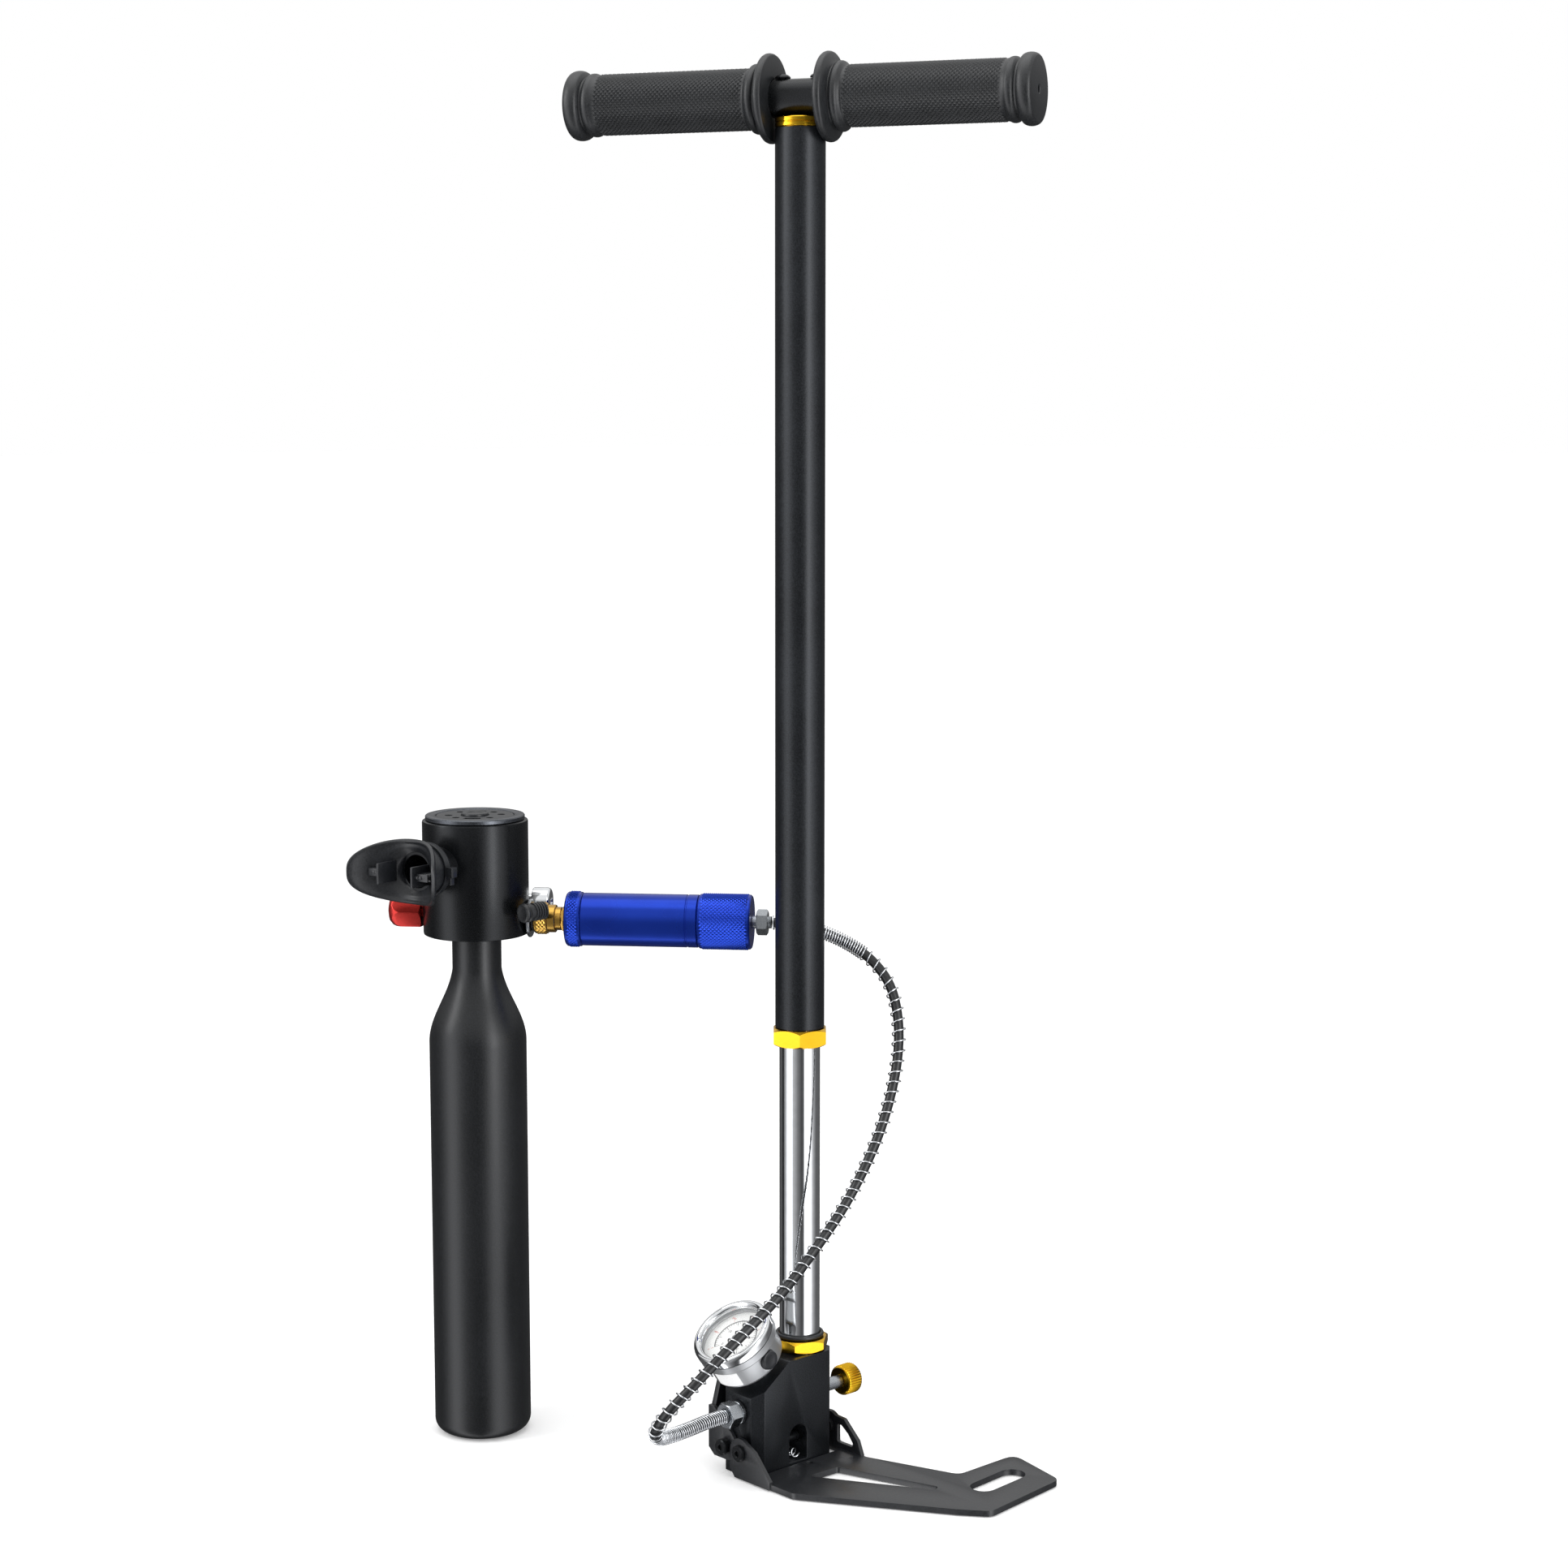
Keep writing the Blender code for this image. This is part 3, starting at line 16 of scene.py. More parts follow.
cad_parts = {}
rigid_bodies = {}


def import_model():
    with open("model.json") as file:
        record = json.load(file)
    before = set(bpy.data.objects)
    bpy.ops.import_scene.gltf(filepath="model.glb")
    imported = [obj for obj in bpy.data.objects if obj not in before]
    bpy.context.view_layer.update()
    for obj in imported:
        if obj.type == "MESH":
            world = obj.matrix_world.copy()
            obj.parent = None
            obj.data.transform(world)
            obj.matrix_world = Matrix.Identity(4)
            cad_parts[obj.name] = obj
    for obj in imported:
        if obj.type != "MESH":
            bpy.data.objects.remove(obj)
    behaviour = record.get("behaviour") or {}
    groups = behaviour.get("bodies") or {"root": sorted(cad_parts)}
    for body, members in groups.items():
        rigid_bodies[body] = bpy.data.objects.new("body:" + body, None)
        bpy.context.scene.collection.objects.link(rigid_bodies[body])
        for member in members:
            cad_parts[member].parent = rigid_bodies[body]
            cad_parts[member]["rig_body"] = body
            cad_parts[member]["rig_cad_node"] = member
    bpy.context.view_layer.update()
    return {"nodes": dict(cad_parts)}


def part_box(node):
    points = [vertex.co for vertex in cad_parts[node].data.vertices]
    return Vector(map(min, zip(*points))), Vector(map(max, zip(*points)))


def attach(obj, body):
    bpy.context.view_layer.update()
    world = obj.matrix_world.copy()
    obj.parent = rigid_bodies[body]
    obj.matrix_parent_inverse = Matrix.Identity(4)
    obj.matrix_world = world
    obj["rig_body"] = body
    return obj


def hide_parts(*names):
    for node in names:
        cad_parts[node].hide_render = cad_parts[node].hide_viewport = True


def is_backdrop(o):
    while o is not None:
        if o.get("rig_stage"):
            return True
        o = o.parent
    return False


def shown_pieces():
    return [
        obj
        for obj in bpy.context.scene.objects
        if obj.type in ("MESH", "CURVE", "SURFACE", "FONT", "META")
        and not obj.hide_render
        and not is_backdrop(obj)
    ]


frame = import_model()
MM = 0.001
UP = Vector((0, 0, 1))

# %% [markdown]
# ## Camera
#
# The camera comes first, because the hose has to stay inside its view. A long lens from 1.8 m away keeps
# the tubes nearly parallel, and it looks down by 7.5 degrees.

# %% Camera
bpy.ops.object.camera_add(location=(1.277, -1.204, 0.653), rotation=(math.radians(82.5), 0, math.radians(47)))
camera = bpy.context.object
camera.data.lens = 67.1
camera.data.sensor_width = 36
camera.data.clip_start = 0.05
bpy.context.scene.camera = camera
print("camera", [round(place, 3) for place in camera.location])

# %% [markdown]
# ## Directions and driving sizes
#
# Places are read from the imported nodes' boxes where a piece stands upright. The filter line, the
# mouthpiece and the gauge lean, so their feet and ways are named here once, in millimetres.

# %% Driving sizes
def span(node):
    """The lowest and highest corner of a node, in millimetres."""
    low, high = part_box(node)
    return low / MM, high / MM


def middle(node):
    low, high = span(node)
    return (low + high) / 2


TANK = middle("cylinder").xy.to_3d()
HOUSING_FOOT = span("regulator_body")[1].z - 72.0
HOUSING_TOP = span("regulator_body")[1].z
HOUSING_RADIUS = 33.0
FILL_WAY = Vector((0.755, 0.656, 0)).normalized()
FILL_FOOT = TANK + UP * (HOUSING_FOOT + 10)
MOUTH_WAY = Vector((0.208, -0.978, 0)).normalized()
MOUTH_FOOT = TANK + UP * (HOUSING_FOOT + 46)
SLOPE = math.radians(35)
GAUGE_WAY = Vector((0, -math.sin(SLOPE), math.cos(SLOPE)))
GAUGE_FOOT = Vector((0, -36, 61.518))
BAR_TURN = math.radians(26.5)
BAR_WAY = Vector((math.cos(BAR_TURN), math.sin(BAR_TURN), 0))
BAR_HEIGHT = middle("handle_bar").z
BLOCK_LEFT, BLOCK_RIGHT = span("base_block")[0].y, span("base_block")[1].y
print("cylinder stands at", [round(x, 1) for x in TANK], "housing top", round(HOUSING_TOP, 1))

# %% [markdown]
# ## Helpers for modelling
#
# Most of this object is turned on a lathe or milled from bar. A turned piece is made as by hand: one
# corner is extruded along half of the outline, and the outline is spun round the upright axis. It is made
# at the origin, where the axis is easy, and is then laid in its place and that place is applied.

# %% Selecting and placing
def deselect():
    if bpy.context.object and bpy.context.object.mode != "OBJECT":
        bpy.ops.object.mode_set(mode="OBJECT")
    bpy.ops.object.select_all(action="DESELECT")


def choose(piece):
    """Makes a piece the only one that the next operator acts on."""
    deselect()
    piece.select_set(True)
    bpy.context.view_layer.objects.active = piece
    return piece


def pick_vertices(wanted):
    """In edit mode, selects the vertices for which wanted(vertex) is true."""
    mesh = bmesh.from_edit_mesh(bpy.context.object.data)
    bpy.ops.mesh.select_all(action="DESELECT")
    for vertex in mesh.verts:
        vertex.select_set(bool(wanted(vertex)))
    mesh.select_flush_mode()
    bmesh.update_edit_mesh(bpy.context.object.data)


def facing(way):
    """The turn that points a piece's upright axis along a way."""
    way = Vector(way)
    return Matrix.Identity(3).to_euler() if way == UP else way.to_track_quat("Z", "Y").to_euler()


def place(piece, foot=(0, 0, 0), way=UP, turn=0.0):
    """Lays a piece made at the origin in its place, in millimetres, and applies that to its mesh."""
    choose(piece)
    spin = Matrix.Rotation(math.radians(turn), 4, "Z")
    piece.matrix_world = Matrix.Translation(Vector(foot) * MM) @ facing(way).to_matrix().to_4x4() @ spin
    bpy.ops.object.transform_apply(location=True, rotation=True, scale=True)
    bpy.ops.object.shade_smooth_by_angle(angle=math.radians(32))
    return piece


def turn_outline(name, outline, sides=96):
    """Draws half of a turned piece, as (radius, height) points in mm, and spins it all the way round."""
    deselect()
    bpy.ops.mesh.primitive_plane_add(size=MM)
    piece = bpy.context.object
    piece.name = piece.data.name = name
    bpy.ops.object.mode_set(mode="EDIT")
    bpy.ops.mesh.merge(type="CENTER")
    spots = [Vector((radius, 0, height)) * MM for radius, height in outline]
    if outline[0][0] > 0 or outline[-1][0] > 0:
        spots.append(spots[0])
    bpy.ops.transform.translate(value=spots[0])
    for here, there in zip(spots, spots[1:]):
        bpy.ops.mesh.extrude_region_move(TRANSFORM_OT_translate={"value": there - here})
    bpy.ops.mesh.select_all(action="SELECT")
    bpy.ops.mesh.spin(steps=sides, angle=2 * math.pi, center=(0, 0, 0), axis=(0, 0, 1))
    bpy.ops.mesh.select_all(action="SELECT")
    bpy.ops.mesh.remove_doubles(threshold=1e-6)
    bpy.ops.mesh.normals_make_consistent(inside=False)
    bpy.ops.object.mode_set(mode="OBJECT")
    lay_turning_uv(piece)
    return piece


def lay_turning_uv(piece):
    """A UV map whose U goes once round the piece and whose V grows along and across it, in metres."""
    layer = piece.data.uv_layers.new(name="turned")
    for face in piece.data.polygons:
        centre = math.atan2(face.center.y, face.center.x)
        for loop in face.loop_indices:
            spot = piece.data.vertices[piece.data.loops[loop].vertex_index].co
            radius = math.hypot(spot.x, spot.y)
            angle = math.atan2(spot.y, spot.x) if radius > 1e-7 else centre
            angle += 2 * math.pi * round((centre - angle) / (2 * math.pi))
            layer.data[loop].uv = (angle / (2 * math.pi), spot.z + radius)


def tube_outline(outer, inner, low, high, edge=0.3):
    """The outline of a tube with its outer edges broken."""
    side = [(outer - edge, low), (outer, low + edge), (outer, high - edge), (outer - edge, high)]
    return [(inner, low), *side, (inner, high)]


def bar_outline(radius, low, high, edge=0.3):
    """The outline of a solid round bar with its edges broken."""
    side = [(radius - edge, low), (radius, low + edge), (radius, high - edge), (radius - edge, high)]
    return [(0, low), *side, (0, high)]


def steps_between(low, high, step):
    """Evenly spaced heights from low to high, an even number of steps of about the given size."""
    count = 2 * max(1, round((high - low) / step / 2))
    return [low + (high - low) * number / count for number in range(count + 1)]


print("modelling helpers are ready")

# %% [markdown]
# Knurling is a pattern that a wheel presses into a turned part, so that fingers grip it. A diamond
# knurl is a band of small pyramids: the band is a grid, and every second corner of it, as on a chess
# board, is pushed out. Each square is then folded along the line between its low corners. A straight
# knurl pushes out every second line.

# %% Knurling, nuts and joining
def knurl(piece, radius, low, high, rows, sides, depth, diamond=True):
    """Pushes out every second corner, or line, of a band of a turned piece that is still at the origin."""
    choose(piece)
    bpy.ops.object.mode_set(mode="EDIT")

    def in_band(vertex):
        reach = math.hypot(vertex.co.x, vertex.co.y) / MM
        return reach > radius - 0.02 and low - 0.01 < vertex.co.z / MM < high + 0.01

    def raised(vertex):
        reach = math.hypot(vertex.co.x, vertex.co.y) / MM
        height = vertex.co.z / MM
        if abs(reach - radius) > 0.02 or not low + 0.01 < height < high - 0.01:
            return False
        column = round(math.atan2(vertex.co.y, vertex.co.x) / (2 * math.pi) * sides)
        row = round((height - low) / (high - low) * rows) if diamond else 0
        return (column + row) % 2 == 0

    pick_vertices(raised)
    bpy.ops.transform.shrink_fatten(value=depth * MM)
    if diamond:
        pick_vertices(in_band)
        bpy.ops.mesh.quads_convert_to_tris(quad_method="SHORTEST_DIAGONAL")
    bpy.ops.object.mode_set(mode="OBJECT")
    return piece


def combine(piece, other, operation):
    """Joins, cuts or trims a piece by another with a Boolean modifier, applies it and removes the other."""
    choose(piece)
    change = piece.modifiers.new(operation.lower(), "BOOLEAN")
    change.operation = operation
    change.object = other
    bpy.ops.object.modifier_apply(modifier=change.name)
    bpy.data.objects.remove(other)
    return piece


def round_edges(piece, width, segments=2, angle=30):
    """Rounds a piece's sharp edges with a Bevel modifier."""
    choose(piece)
    change = piece.modifiers.new("rounding", "BEVEL")
    change.width = width * MM
    change.segments = segments
    change.limit_method = "ANGLE"
    change.angle_limit = math.radians(angle)
    bpy.ops.object.modifier_apply(modifier=change.name)
    bpy.ops.object.shade_smooth_by_angle(angle=math.radians(32))
    return piece


def hexagon(name, across, low, high, bore, chamfer=0.18):
    """A six-sided bar whose corners are turned off at both ends, with a bore through it."""
    deselect()
    corner = across / math.sqrt(3)
    bpy.ops.mesh.primitive_cylinder_add(
        vertices=6,
        radius=corner * MM,
        depth=(high - low) * MM,
        location=(0, 0, (low + high) / 2 * MM),
        rotation=(0, 0, math.radians(30)),
    )
    nut = bpy.context.object
    nut.name = nut.data.name = name
    bpy.ops.object.transform_apply(location=True, rotation=True, scale=True)
    rim, wide = across / 2 - 0.1, corner + 0.5
    edge = (wide - rim) * math.tan(math.radians(30)) + chamfer
    outline = [(rim, low - 0.01), (wide, low + edge), (wide, high - edge), (rim, high + 0.01)]
    if bore:
        outline = [(bore, low - 0.01), *outline, (bore, high + 0.01)]
    else:
        outline = [(0, low - 0.01), *outline, (0, high + 0.01)]
    return combine(nut, turn_outline(name + "_blank", outline, 72), "INTERSECT")


def join(first, *others):
    """Joins pieces into one mesh, without merging where they touch."""
    choose(first)
    for other in others:
        other.select_set(True)
    bpy.ops.object.join()
    return first


def refined(node, name, width, segments=3, angle=30):
    """A copy of a milled or pressed node, with its triangles merged into flat faces and its edges rounded."""
    choose(frame["nodes"][node])
    bpy.ops.object.duplicate()
    piece = bpy.context.object
    piece.name = piece.data.name = name
    piece.parent = None
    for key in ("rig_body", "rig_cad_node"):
        del piece[key]
    bpy.ops.object.mode_set(mode="EDIT")
    bpy.ops.mesh.select_all(action="SELECT")
    bpy.ops.mesh.remove_doubles(threshold=2e-6)
    bpy.ops.mesh.customdata_custom_splitnormals_clear()
    bpy.ops.mesh.dissolve_limited(angle_limit=math.radians(1))
    bpy.ops.object.mode_set(mode="OBJECT")
    return round_edges(piece, width, segments, angle)


def fit(piece, material, body, slot, *nodes):
    """Gives a finished piece its material and its body, and hides the nodes that it stands for. The slot is
    not used.
    """
    piece.data.materials.clear()
    piece.data.materials.append(material)
    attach(piece, body)
    if nodes:
        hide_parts(*nodes)
    count = len(piece.data.polygons) if piece.type == "MESH" else 0
    print(f"{piece.name}: {count} faces on {body}")
    return piece


# %% [markdown]
# ## Materials
#
# Each finish is a Principled shader. One helper adds a node, and one builds what all the finishes share:
# a colour and a gloss that drift a little in soft patches, and a fine tooth of bump. The tooth's size is a
# real one in millimetres. Turned metal reads the turning UV map, so that its tool lines run round it.

# %% Material helpers
def linear(code):
    """An sRGB hex colour as the linear colour that a shader takes."""
    parts = [int(code[place : place + 2], 16) / 255 for place in (1, 3, 5)]
    parts = [part / 12.92 if part <= 0.04045 else ((part + 0.055) / 1.055) ** 2.4 for part in parts]
    return (*parts, 1.0)


def add_node(tree, kind, inputs=None, **settings):
    """Adds a node with its settings. An input is given a number, or is linked to another node's socket."""
    made = tree.nodes.new(kind)
    for name, value in settings.items():
        setattr(made, name, value)
    for name, value in (inputs or {}).items():
        if isinstance(value, bpy.types.NodeSocket):
            tree.links.new(value, made.inputs[name])
        else:
            made.inputs[name].default_value = value
    return made


PATCH_SHARE, DRIFT_LOW, DRIFT_HIGH = 0.35, 0.48, 0.88


def finish(name, dark, light, gloss, tooth, depth, patch=40.0, lines=False, **constants):
    """A finish: two colours, two roughnesses, the tooth's width and depth in mm, and shader constants."""
    material = bpy.data.materials.new(name)
    material.use_nodes = True
    tree = material.node_tree
    shader = tree.nodes["Principled BSDF"]
    for socket, value in constants.items():
        shader.inputs[socket.replace("_", " ")].default_value = value
    where = add_node(tree, "ShaderNodeTexCoord")
    stretch = (0.004, 1, 1) if lines else (1, 1, 1)
    source = where.outputs["UV" if lines else "Object"]
    laid = add_node(tree, "ShaderNodeMapping", {"Vector": source, "Scale": stretch})
    grain = {"Vector": laid.outputs[0], "Scale": 1000 / tooth, "Detail": 2}
    fine = add_node(tree, "ShaderNodeTexNoise", grain)
    soft = add_node(tree, "ShaderNodeTexNoise", {"Vector": where.outputs["Object"], "Scale": 1000 / patch})
    weighed = {0: soft.outputs["Fac"], 1: PATCH_SHARE, 2: fine.outputs["Fac"]}
    both = add_node(tree, "ShaderNodeMath", weighed, operation="MULTIPLY_ADD")
    spread = {"Value": both.outputs[0], "From Min": DRIFT_LOW, "From Max": DRIFT_HIGH}
    share = add_node(tree, "ShaderNodeMapRange", spread)
    ramp = add_node(tree, "ShaderNodeValToRGB", {"Fac": share.outputs[0]})
    ramp.color_ramp.elements[0].color = linear(dark)
    ramp.color_ramp.elements[1].color = linear(light)
    rough = add_node(tree, "ShaderNodeMapRange", {**spread, "To Min": gloss[0], "To Max": gloss[1]})
    bump = add_node(tree, "ShaderNodeBump", {"Height": fine.outputs["Fac"], "Distance": depth * MM})
    tree.links.new(ramp.outputs["Color"], shader.inputs["Base Color"])
    tree.links.new(rough.outputs[0], shader.inputs["Roughness"])
    tree.links.new(bump.outputs["Normal"], shader.inputs["Normal"])
    return material


# %% [markdown]
# Aluminium is anodised black, gold, blue or red: a clear oxide skin on the metal takes up a dye. Black is
# bead-blasted first, so it is matt and looks almost like stone. The others are turned and left bright, so
# they keep the shine of metal under the colour. The blasted tooth is really about 0.1 mm and is drawn at
# 0.7 mm, so that it shows.

# %% Anodised aluminium
BLACK_ANODISED = finish(
    "black_anodised_aluminium", "#121417", "#26292d", (0.32, 0.42), 0.7, 0.03, Metallic=0.55
)
SATIN_BLACK = finish(
    "satin_black_anodised_aluminium", "#0d0f11", "#17191c", (0.26, 0.32), 0.7, 0.02, Metallic=0.6
)
GOLD_ANODISED = finish(
    "gold_anodised_aluminium", "#c08f12", "#e6bb34", (0.18, 0.28), 0.25, 0.004, lines=True, Metallic=1.0
)
BLUE_ANODISED = finish(
    "blue_anodised_aluminium", "#0d2786", "#1a3fb4", (0.24, 0.32), 0.3, 0.006, lines=True, Metallic=0.8
)
# The head's ring is black anodised like the head. Its lighter grey colour is a painted sheen: the bright room
# above, as its flat top reflects it, is painted into the colour.
RING_PAINTED_SHEEN = finish(
    "black_anodised_aluminium_painted_sheen", "#46494e", "#5a5d62", (0.28, 0.36), 0.7, 0.01, Metallic=0.9
)
RED_ANODISED = finish(
    "red_anodised_aluminium", "#8e1c19", "#b8332d", (0.18, 0.26), 0.4, 0.004, Metallic=0.8
)

# %% [markdown]
# Bare and plated metals keep the default index of refraction. Chrome is the smoothest, zinc has a faint
# bluish bloom, the gauge's case is brushed round, and brass is warm with fine tool lines.

# %% Bare and plated metals
CHROME = finish("chrome_plated_steel", "#dcdee0", "#e6e8ea", (0.05, 0.07), 6.0, 0.0001, Metallic=1.0)
ZINC = finish("zinc_plated_steel", "#989ca1", "#b0b4b8", (0.24, 0.3), 0.5, 0.004, 8.0, Metallic=1.0)
BRUSHED = finish(
    "brushed_stainless_steel", "#a9abad", "#c4c6c8", (0.34, 0.44), 0.25, 0.004, lines=True, Metallic=0.9
)
SPRING_STEEL = finish(
    "bright_spring_steel", "#c2c6ca", "#e3e5e8", (0.14, 0.24), 0.6, 0.002, 8.0, Metallic=1.0
)
BRASS = finish("turned_brass", "#a87f34", "#cda657", (0.2, 0.32), 0.3, 0.005, lines=True, Metallic=1.0)
BLACK_OXIDE = finish("black_oxide_steel", "#131416", "#202225", (0.26, 0.36), 0.5, 0.006, 6.0, Metallic=0.6)

# %% [markdown]
# Paints, plastics and rubbers aren't metal. The cylinder's powder paint has a fine orange-peel tooth. The
# pedal is dipped in soft plastic, which flows round its edges and shines there. Rubber is dark and dull,
# and the mouthpiece's silicone is a little lighter and smoother than the grips.

# %% Paints, plastics and rubbers
MATT_PAINT = finish("matt_black_powder_paint", "#0f1113", "#1b1d20", (0.33, 0.4), 0.8, 0.03, Metallic=0.25)
DIPPED = finish(
    "black_dip_coated_steel",
    "#111316",
    "#1d1f23",
    (0.4, 0.5),
    1.2,
    0.04,
    12.0,
    Coat_Weight=0.3,
    Coat_Roughness=0.25,
)
PLASTIC = finish("moulded_black_plastic", "#16181b", "#212327", (0.3, 0.4), 0.6, 0.01, 15.0)
GRIP_RUBBER = finish("moulded_grip_rubber", "#0f1113", "#1d1f22", (0.38, 0.48), 0.9, 0.02, 12.0)
SEAL_RUBBER = finish("smooth_black_rubber", "#141517", "#202225", (0.36, 0.46), 0.8, 0.01, 10.0)
HOSE_RUBBER = finish("extruded_hose_rubber", "#0e0f11", "#1a1c1e", (0.3, 0.4), 1.5, 0.02, 10.0)
SILICONE = finish("dark_silicone_rubber", "#121417", "#202226", (0.34, 0.44), 0.9, 0.01, 14.0)

# %% [markdown]
# The dial is printed enamel under a clear glass. The glass is let through by its alpha, because a thin
# pane hardly bends the light, and this way the dial stays bright under it.

# %% Dial, label, felt and glass
ENAMEL = finish("white_dial_enamel", "#eeeeeb", "#f7f7f5", (0.35, 0.45), 0.8, 0.002, 10.0)
DIAL_BLACK = finish("black_dial_print", "#1c1d1f", "#26282a", (0.5, 0.6), 0.5, 0.001, 5.0)
DIAL_RED = finish("red_dial_print", "#c5482f", "#d9603f", (0.5, 0.6), 0.5, 0.001, 5.0)
PAPER = finish("white_paper_label", "#e9eaea", "#f5f5f5", (0.5, 0.62), 0.6, 0.004, 8.0)
FELT = finish("pressed_filter_felt", "#cfc9b8", "#e4dfd0", (0.85, 0.95), 0.8, 0.1, 8.0)
GLASS = finish(
    "clear_gauge_glass", "#f2f6f7", "#ffffff", (0.02, 0.04), 9.0, 0.0005, Alpha=0.12, Coat_Weight=0.6
)
print(len(bpy.data.materials), "materials")

# %% [markdown]
# ## The hose and its wire guard
#
# The hose is a thin black rubber tube, held off sharp bends by a loose spring of steel wire. It leaves the
# block straight, turns up in front of the gauge, and climbs past the tube to the filter. The route's points
# are listed in metres, and a smooth curve goes through them.

# %% Hose
HOSE_ROUTE = (
    (0.0010, -0.0648, 0.0400),
    (0.0010, -0.0780, 0.0400),
    (0.0010, -0.0920, 0.0390),
    (0.0020, -0.1060, 0.0390),
    (0.0055, -0.1190, 0.0415),
    (0.0120, -0.1280, 0.0485),
    (0.0200, -0.1305, 0.0580),
    (0.0270, -0.1270, 0.0680),
    (0.0330, -0.1185, 0.0785),
    (0.0380, -0.1070, 0.0900),
    (0.0420, -0.0930, 0.1020),
    (0.0445, -0.0775, 0.1130),
    (0.0455, -0.0615, 0.1235),
    (0.0455, -0.0460, 0.1345),
    (0.0455, -0.0260, 0.1510),
    (0.0460, -0.0080, 0.1680),
    (0.0470, 0.0070, 0.1870),
    (0.0475, 0.0210, 0.2090),
    (0.0460, 0.0330, 0.2320),
    (0.0430, 0.0420, 0.2550),
    (0.0375, 0.0475, 0.2760),
    (0.0285, 0.0495, 0.2950),
    (0.0160, 0.0460, 0.3095),
    (0.0015, 0.0385, 0.3195),
    (-0.0125, 0.0280, 0.3265),
    (-0.0245, 0.0170, 0.3305),
    (-0.0336, 0.0087, 0.3313),
)


def smooth_line(route, between):
    """Points on a smooth curve through the route's points."""
    spots = [Vector(spot) for spot in route]
    spots = [2 * spots[0] - spots[1], *spots, 2 * spots[-1] - spots[-2]]
    line = []
    for before, start, end, after in zip(spots, spots[1:], spots[2:], spots[3:]):
        for number in range(between):
            part = number / between
            bend = (2 * before - 5 * start + 4 * end - after) * part**2
            bend += (3 * start - before - 3 * end + after) * part**3
            line.append(0.5 * (2 * start + (end - before) * part + bend))
    return [*line, spots[-2]]


def wire(name, line, radius, fineness):
    """A round wire or tube along a line of points, as one open spline."""
    data = bpy.data.curves.new(name, "CURVE")
    data.dimensions = "3D"
    data.bevel_depth = radius
    data.bevel_resolution = fineness
    data.use_fill_caps = True
    spline = data.splines.new("POLY")
    spline.points.add(len(line) - 1)
    for point, spot in zip(spline.points, line):
        point.co = (*spot, 1)
    spline.use_smooth = True
    piece = bpy.data.objects.new(name, data)
    bpy.context.scene.collection.objects.link(piece)
    return piece


HOSE_DIAMETER = 0.0060
hose_line = smooth_line(HOSE_ROUTE, 6)
hose_length = sum((end - start).length for start, end in zip(hose_line, hose_line[1:]))
hose = fit(wire("hose_tube", hose_line, HOSE_DIAMETER / 2, 4), HOSE_RUBBER, "base", "guard_steel", "hose")
print("hose is", round(hose_length, 4), "m long")

# %% [markdown]
# The guard is one wire wound as a helix round the hose's line. Its turns lie against each other at both
# ends, where the hose leaves its fittings, and about 7 mm apart in between. The wire's angle grows with
# the distance along the hose, and its sides are carried along the line without twisting.

# %% Wire guard
GUARD_WIRE = 0.00045
GUARD_RADIUS = 0.0046 - GUARD_WIRE
OPEN_PITCH, CLOSE_PITCH = 0.0068, 0.0017
CLOSE_START, CLOSE_END = 0.062, 0.030


def guard_pitch(along):
    """How far the wire climbs in one turn, at a distance along the hose."""
    start = (along - CLOSE_START) / 0.006
    end = (hose_length - CLOSE_END - along) / 0.006
    share = max(0.0, min(1.0, start, end))
    return CLOSE_PITCH + (OPEN_PITCH - CLOSE_PITCH) * share


def wound(line, radius, pitch, steps):
    """Points of a wire wound round a line, with the given number of steps in each turn."""
    spots, angle, along = [], 0.0, 0.0
    side = (line[1] - line[0]).orthogonal().normalized()
    for start, end in zip(line, line[1:]):
        way = (end - start).normalized()
        side = (side - way * side.dot(way)).normalized()
        other = way.cross(side)
        length, done = (end - start).length, 0.0
        while done < length:
            step = pitch(along) / steps
            spots.append(start + way * done + (side * math.cos(angle) + other * math.sin(angle)) * radius)
            angle += 2 * math.pi / steps
            done += step
            along += step
    return spots


guard_line = wound(hose_line, GUARD_RADIUS, guard_pitch, 12)
guard = fit(wire("hose_wire_guard", guard_line, GUARD_WIRE, 1), SPRING_STEEL, "base", "guard_steel")
print("guard has", len(guard_line), "points")

# %% [markdown]
# ## The pump's tubes
#
# The chrome tube stands in the block and the black tube slides over it. Both are cut from drawn tube and
# turned at the ends, so each is an outline spun round the upright axis, 96 sides so that its edge
# against the background stays smooth.

# %% Chrome tube and black tube
CHROME_RADIUS, SLEEVE_RADIUS = 12.5, 15.0
low, high = span("inner_tube")
chrome_tube = turn_outline("chrome_tube", tube_outline(CHROME_RADIUS, 10.5, low.z, high.z))
fit(place(chrome_tube), CHROME, "base", "chrome_plate", "inner_tube")
low, high = span("outer_tube")
black_tube = turn_outline("black_tube", tube_outline(SLEEVE_RADIUS, 13.5, low.z, high.z, 0.4))
fit(place(black_tube), BLACK_ANODISED, "sleeve", "black_anodised", "outer_tube")

# %% [markdown]
# A gold nut closes each end of the sliding joint: one under the black tube holds the gland, and one on the
# block holds the chrome tube. A real nut is cut from six-sided bar and its corners are turned off at 30
# degrees, which leaves the curved line on each flat. A six-sided cylinder trimmed by a turned blank gives
# just that.

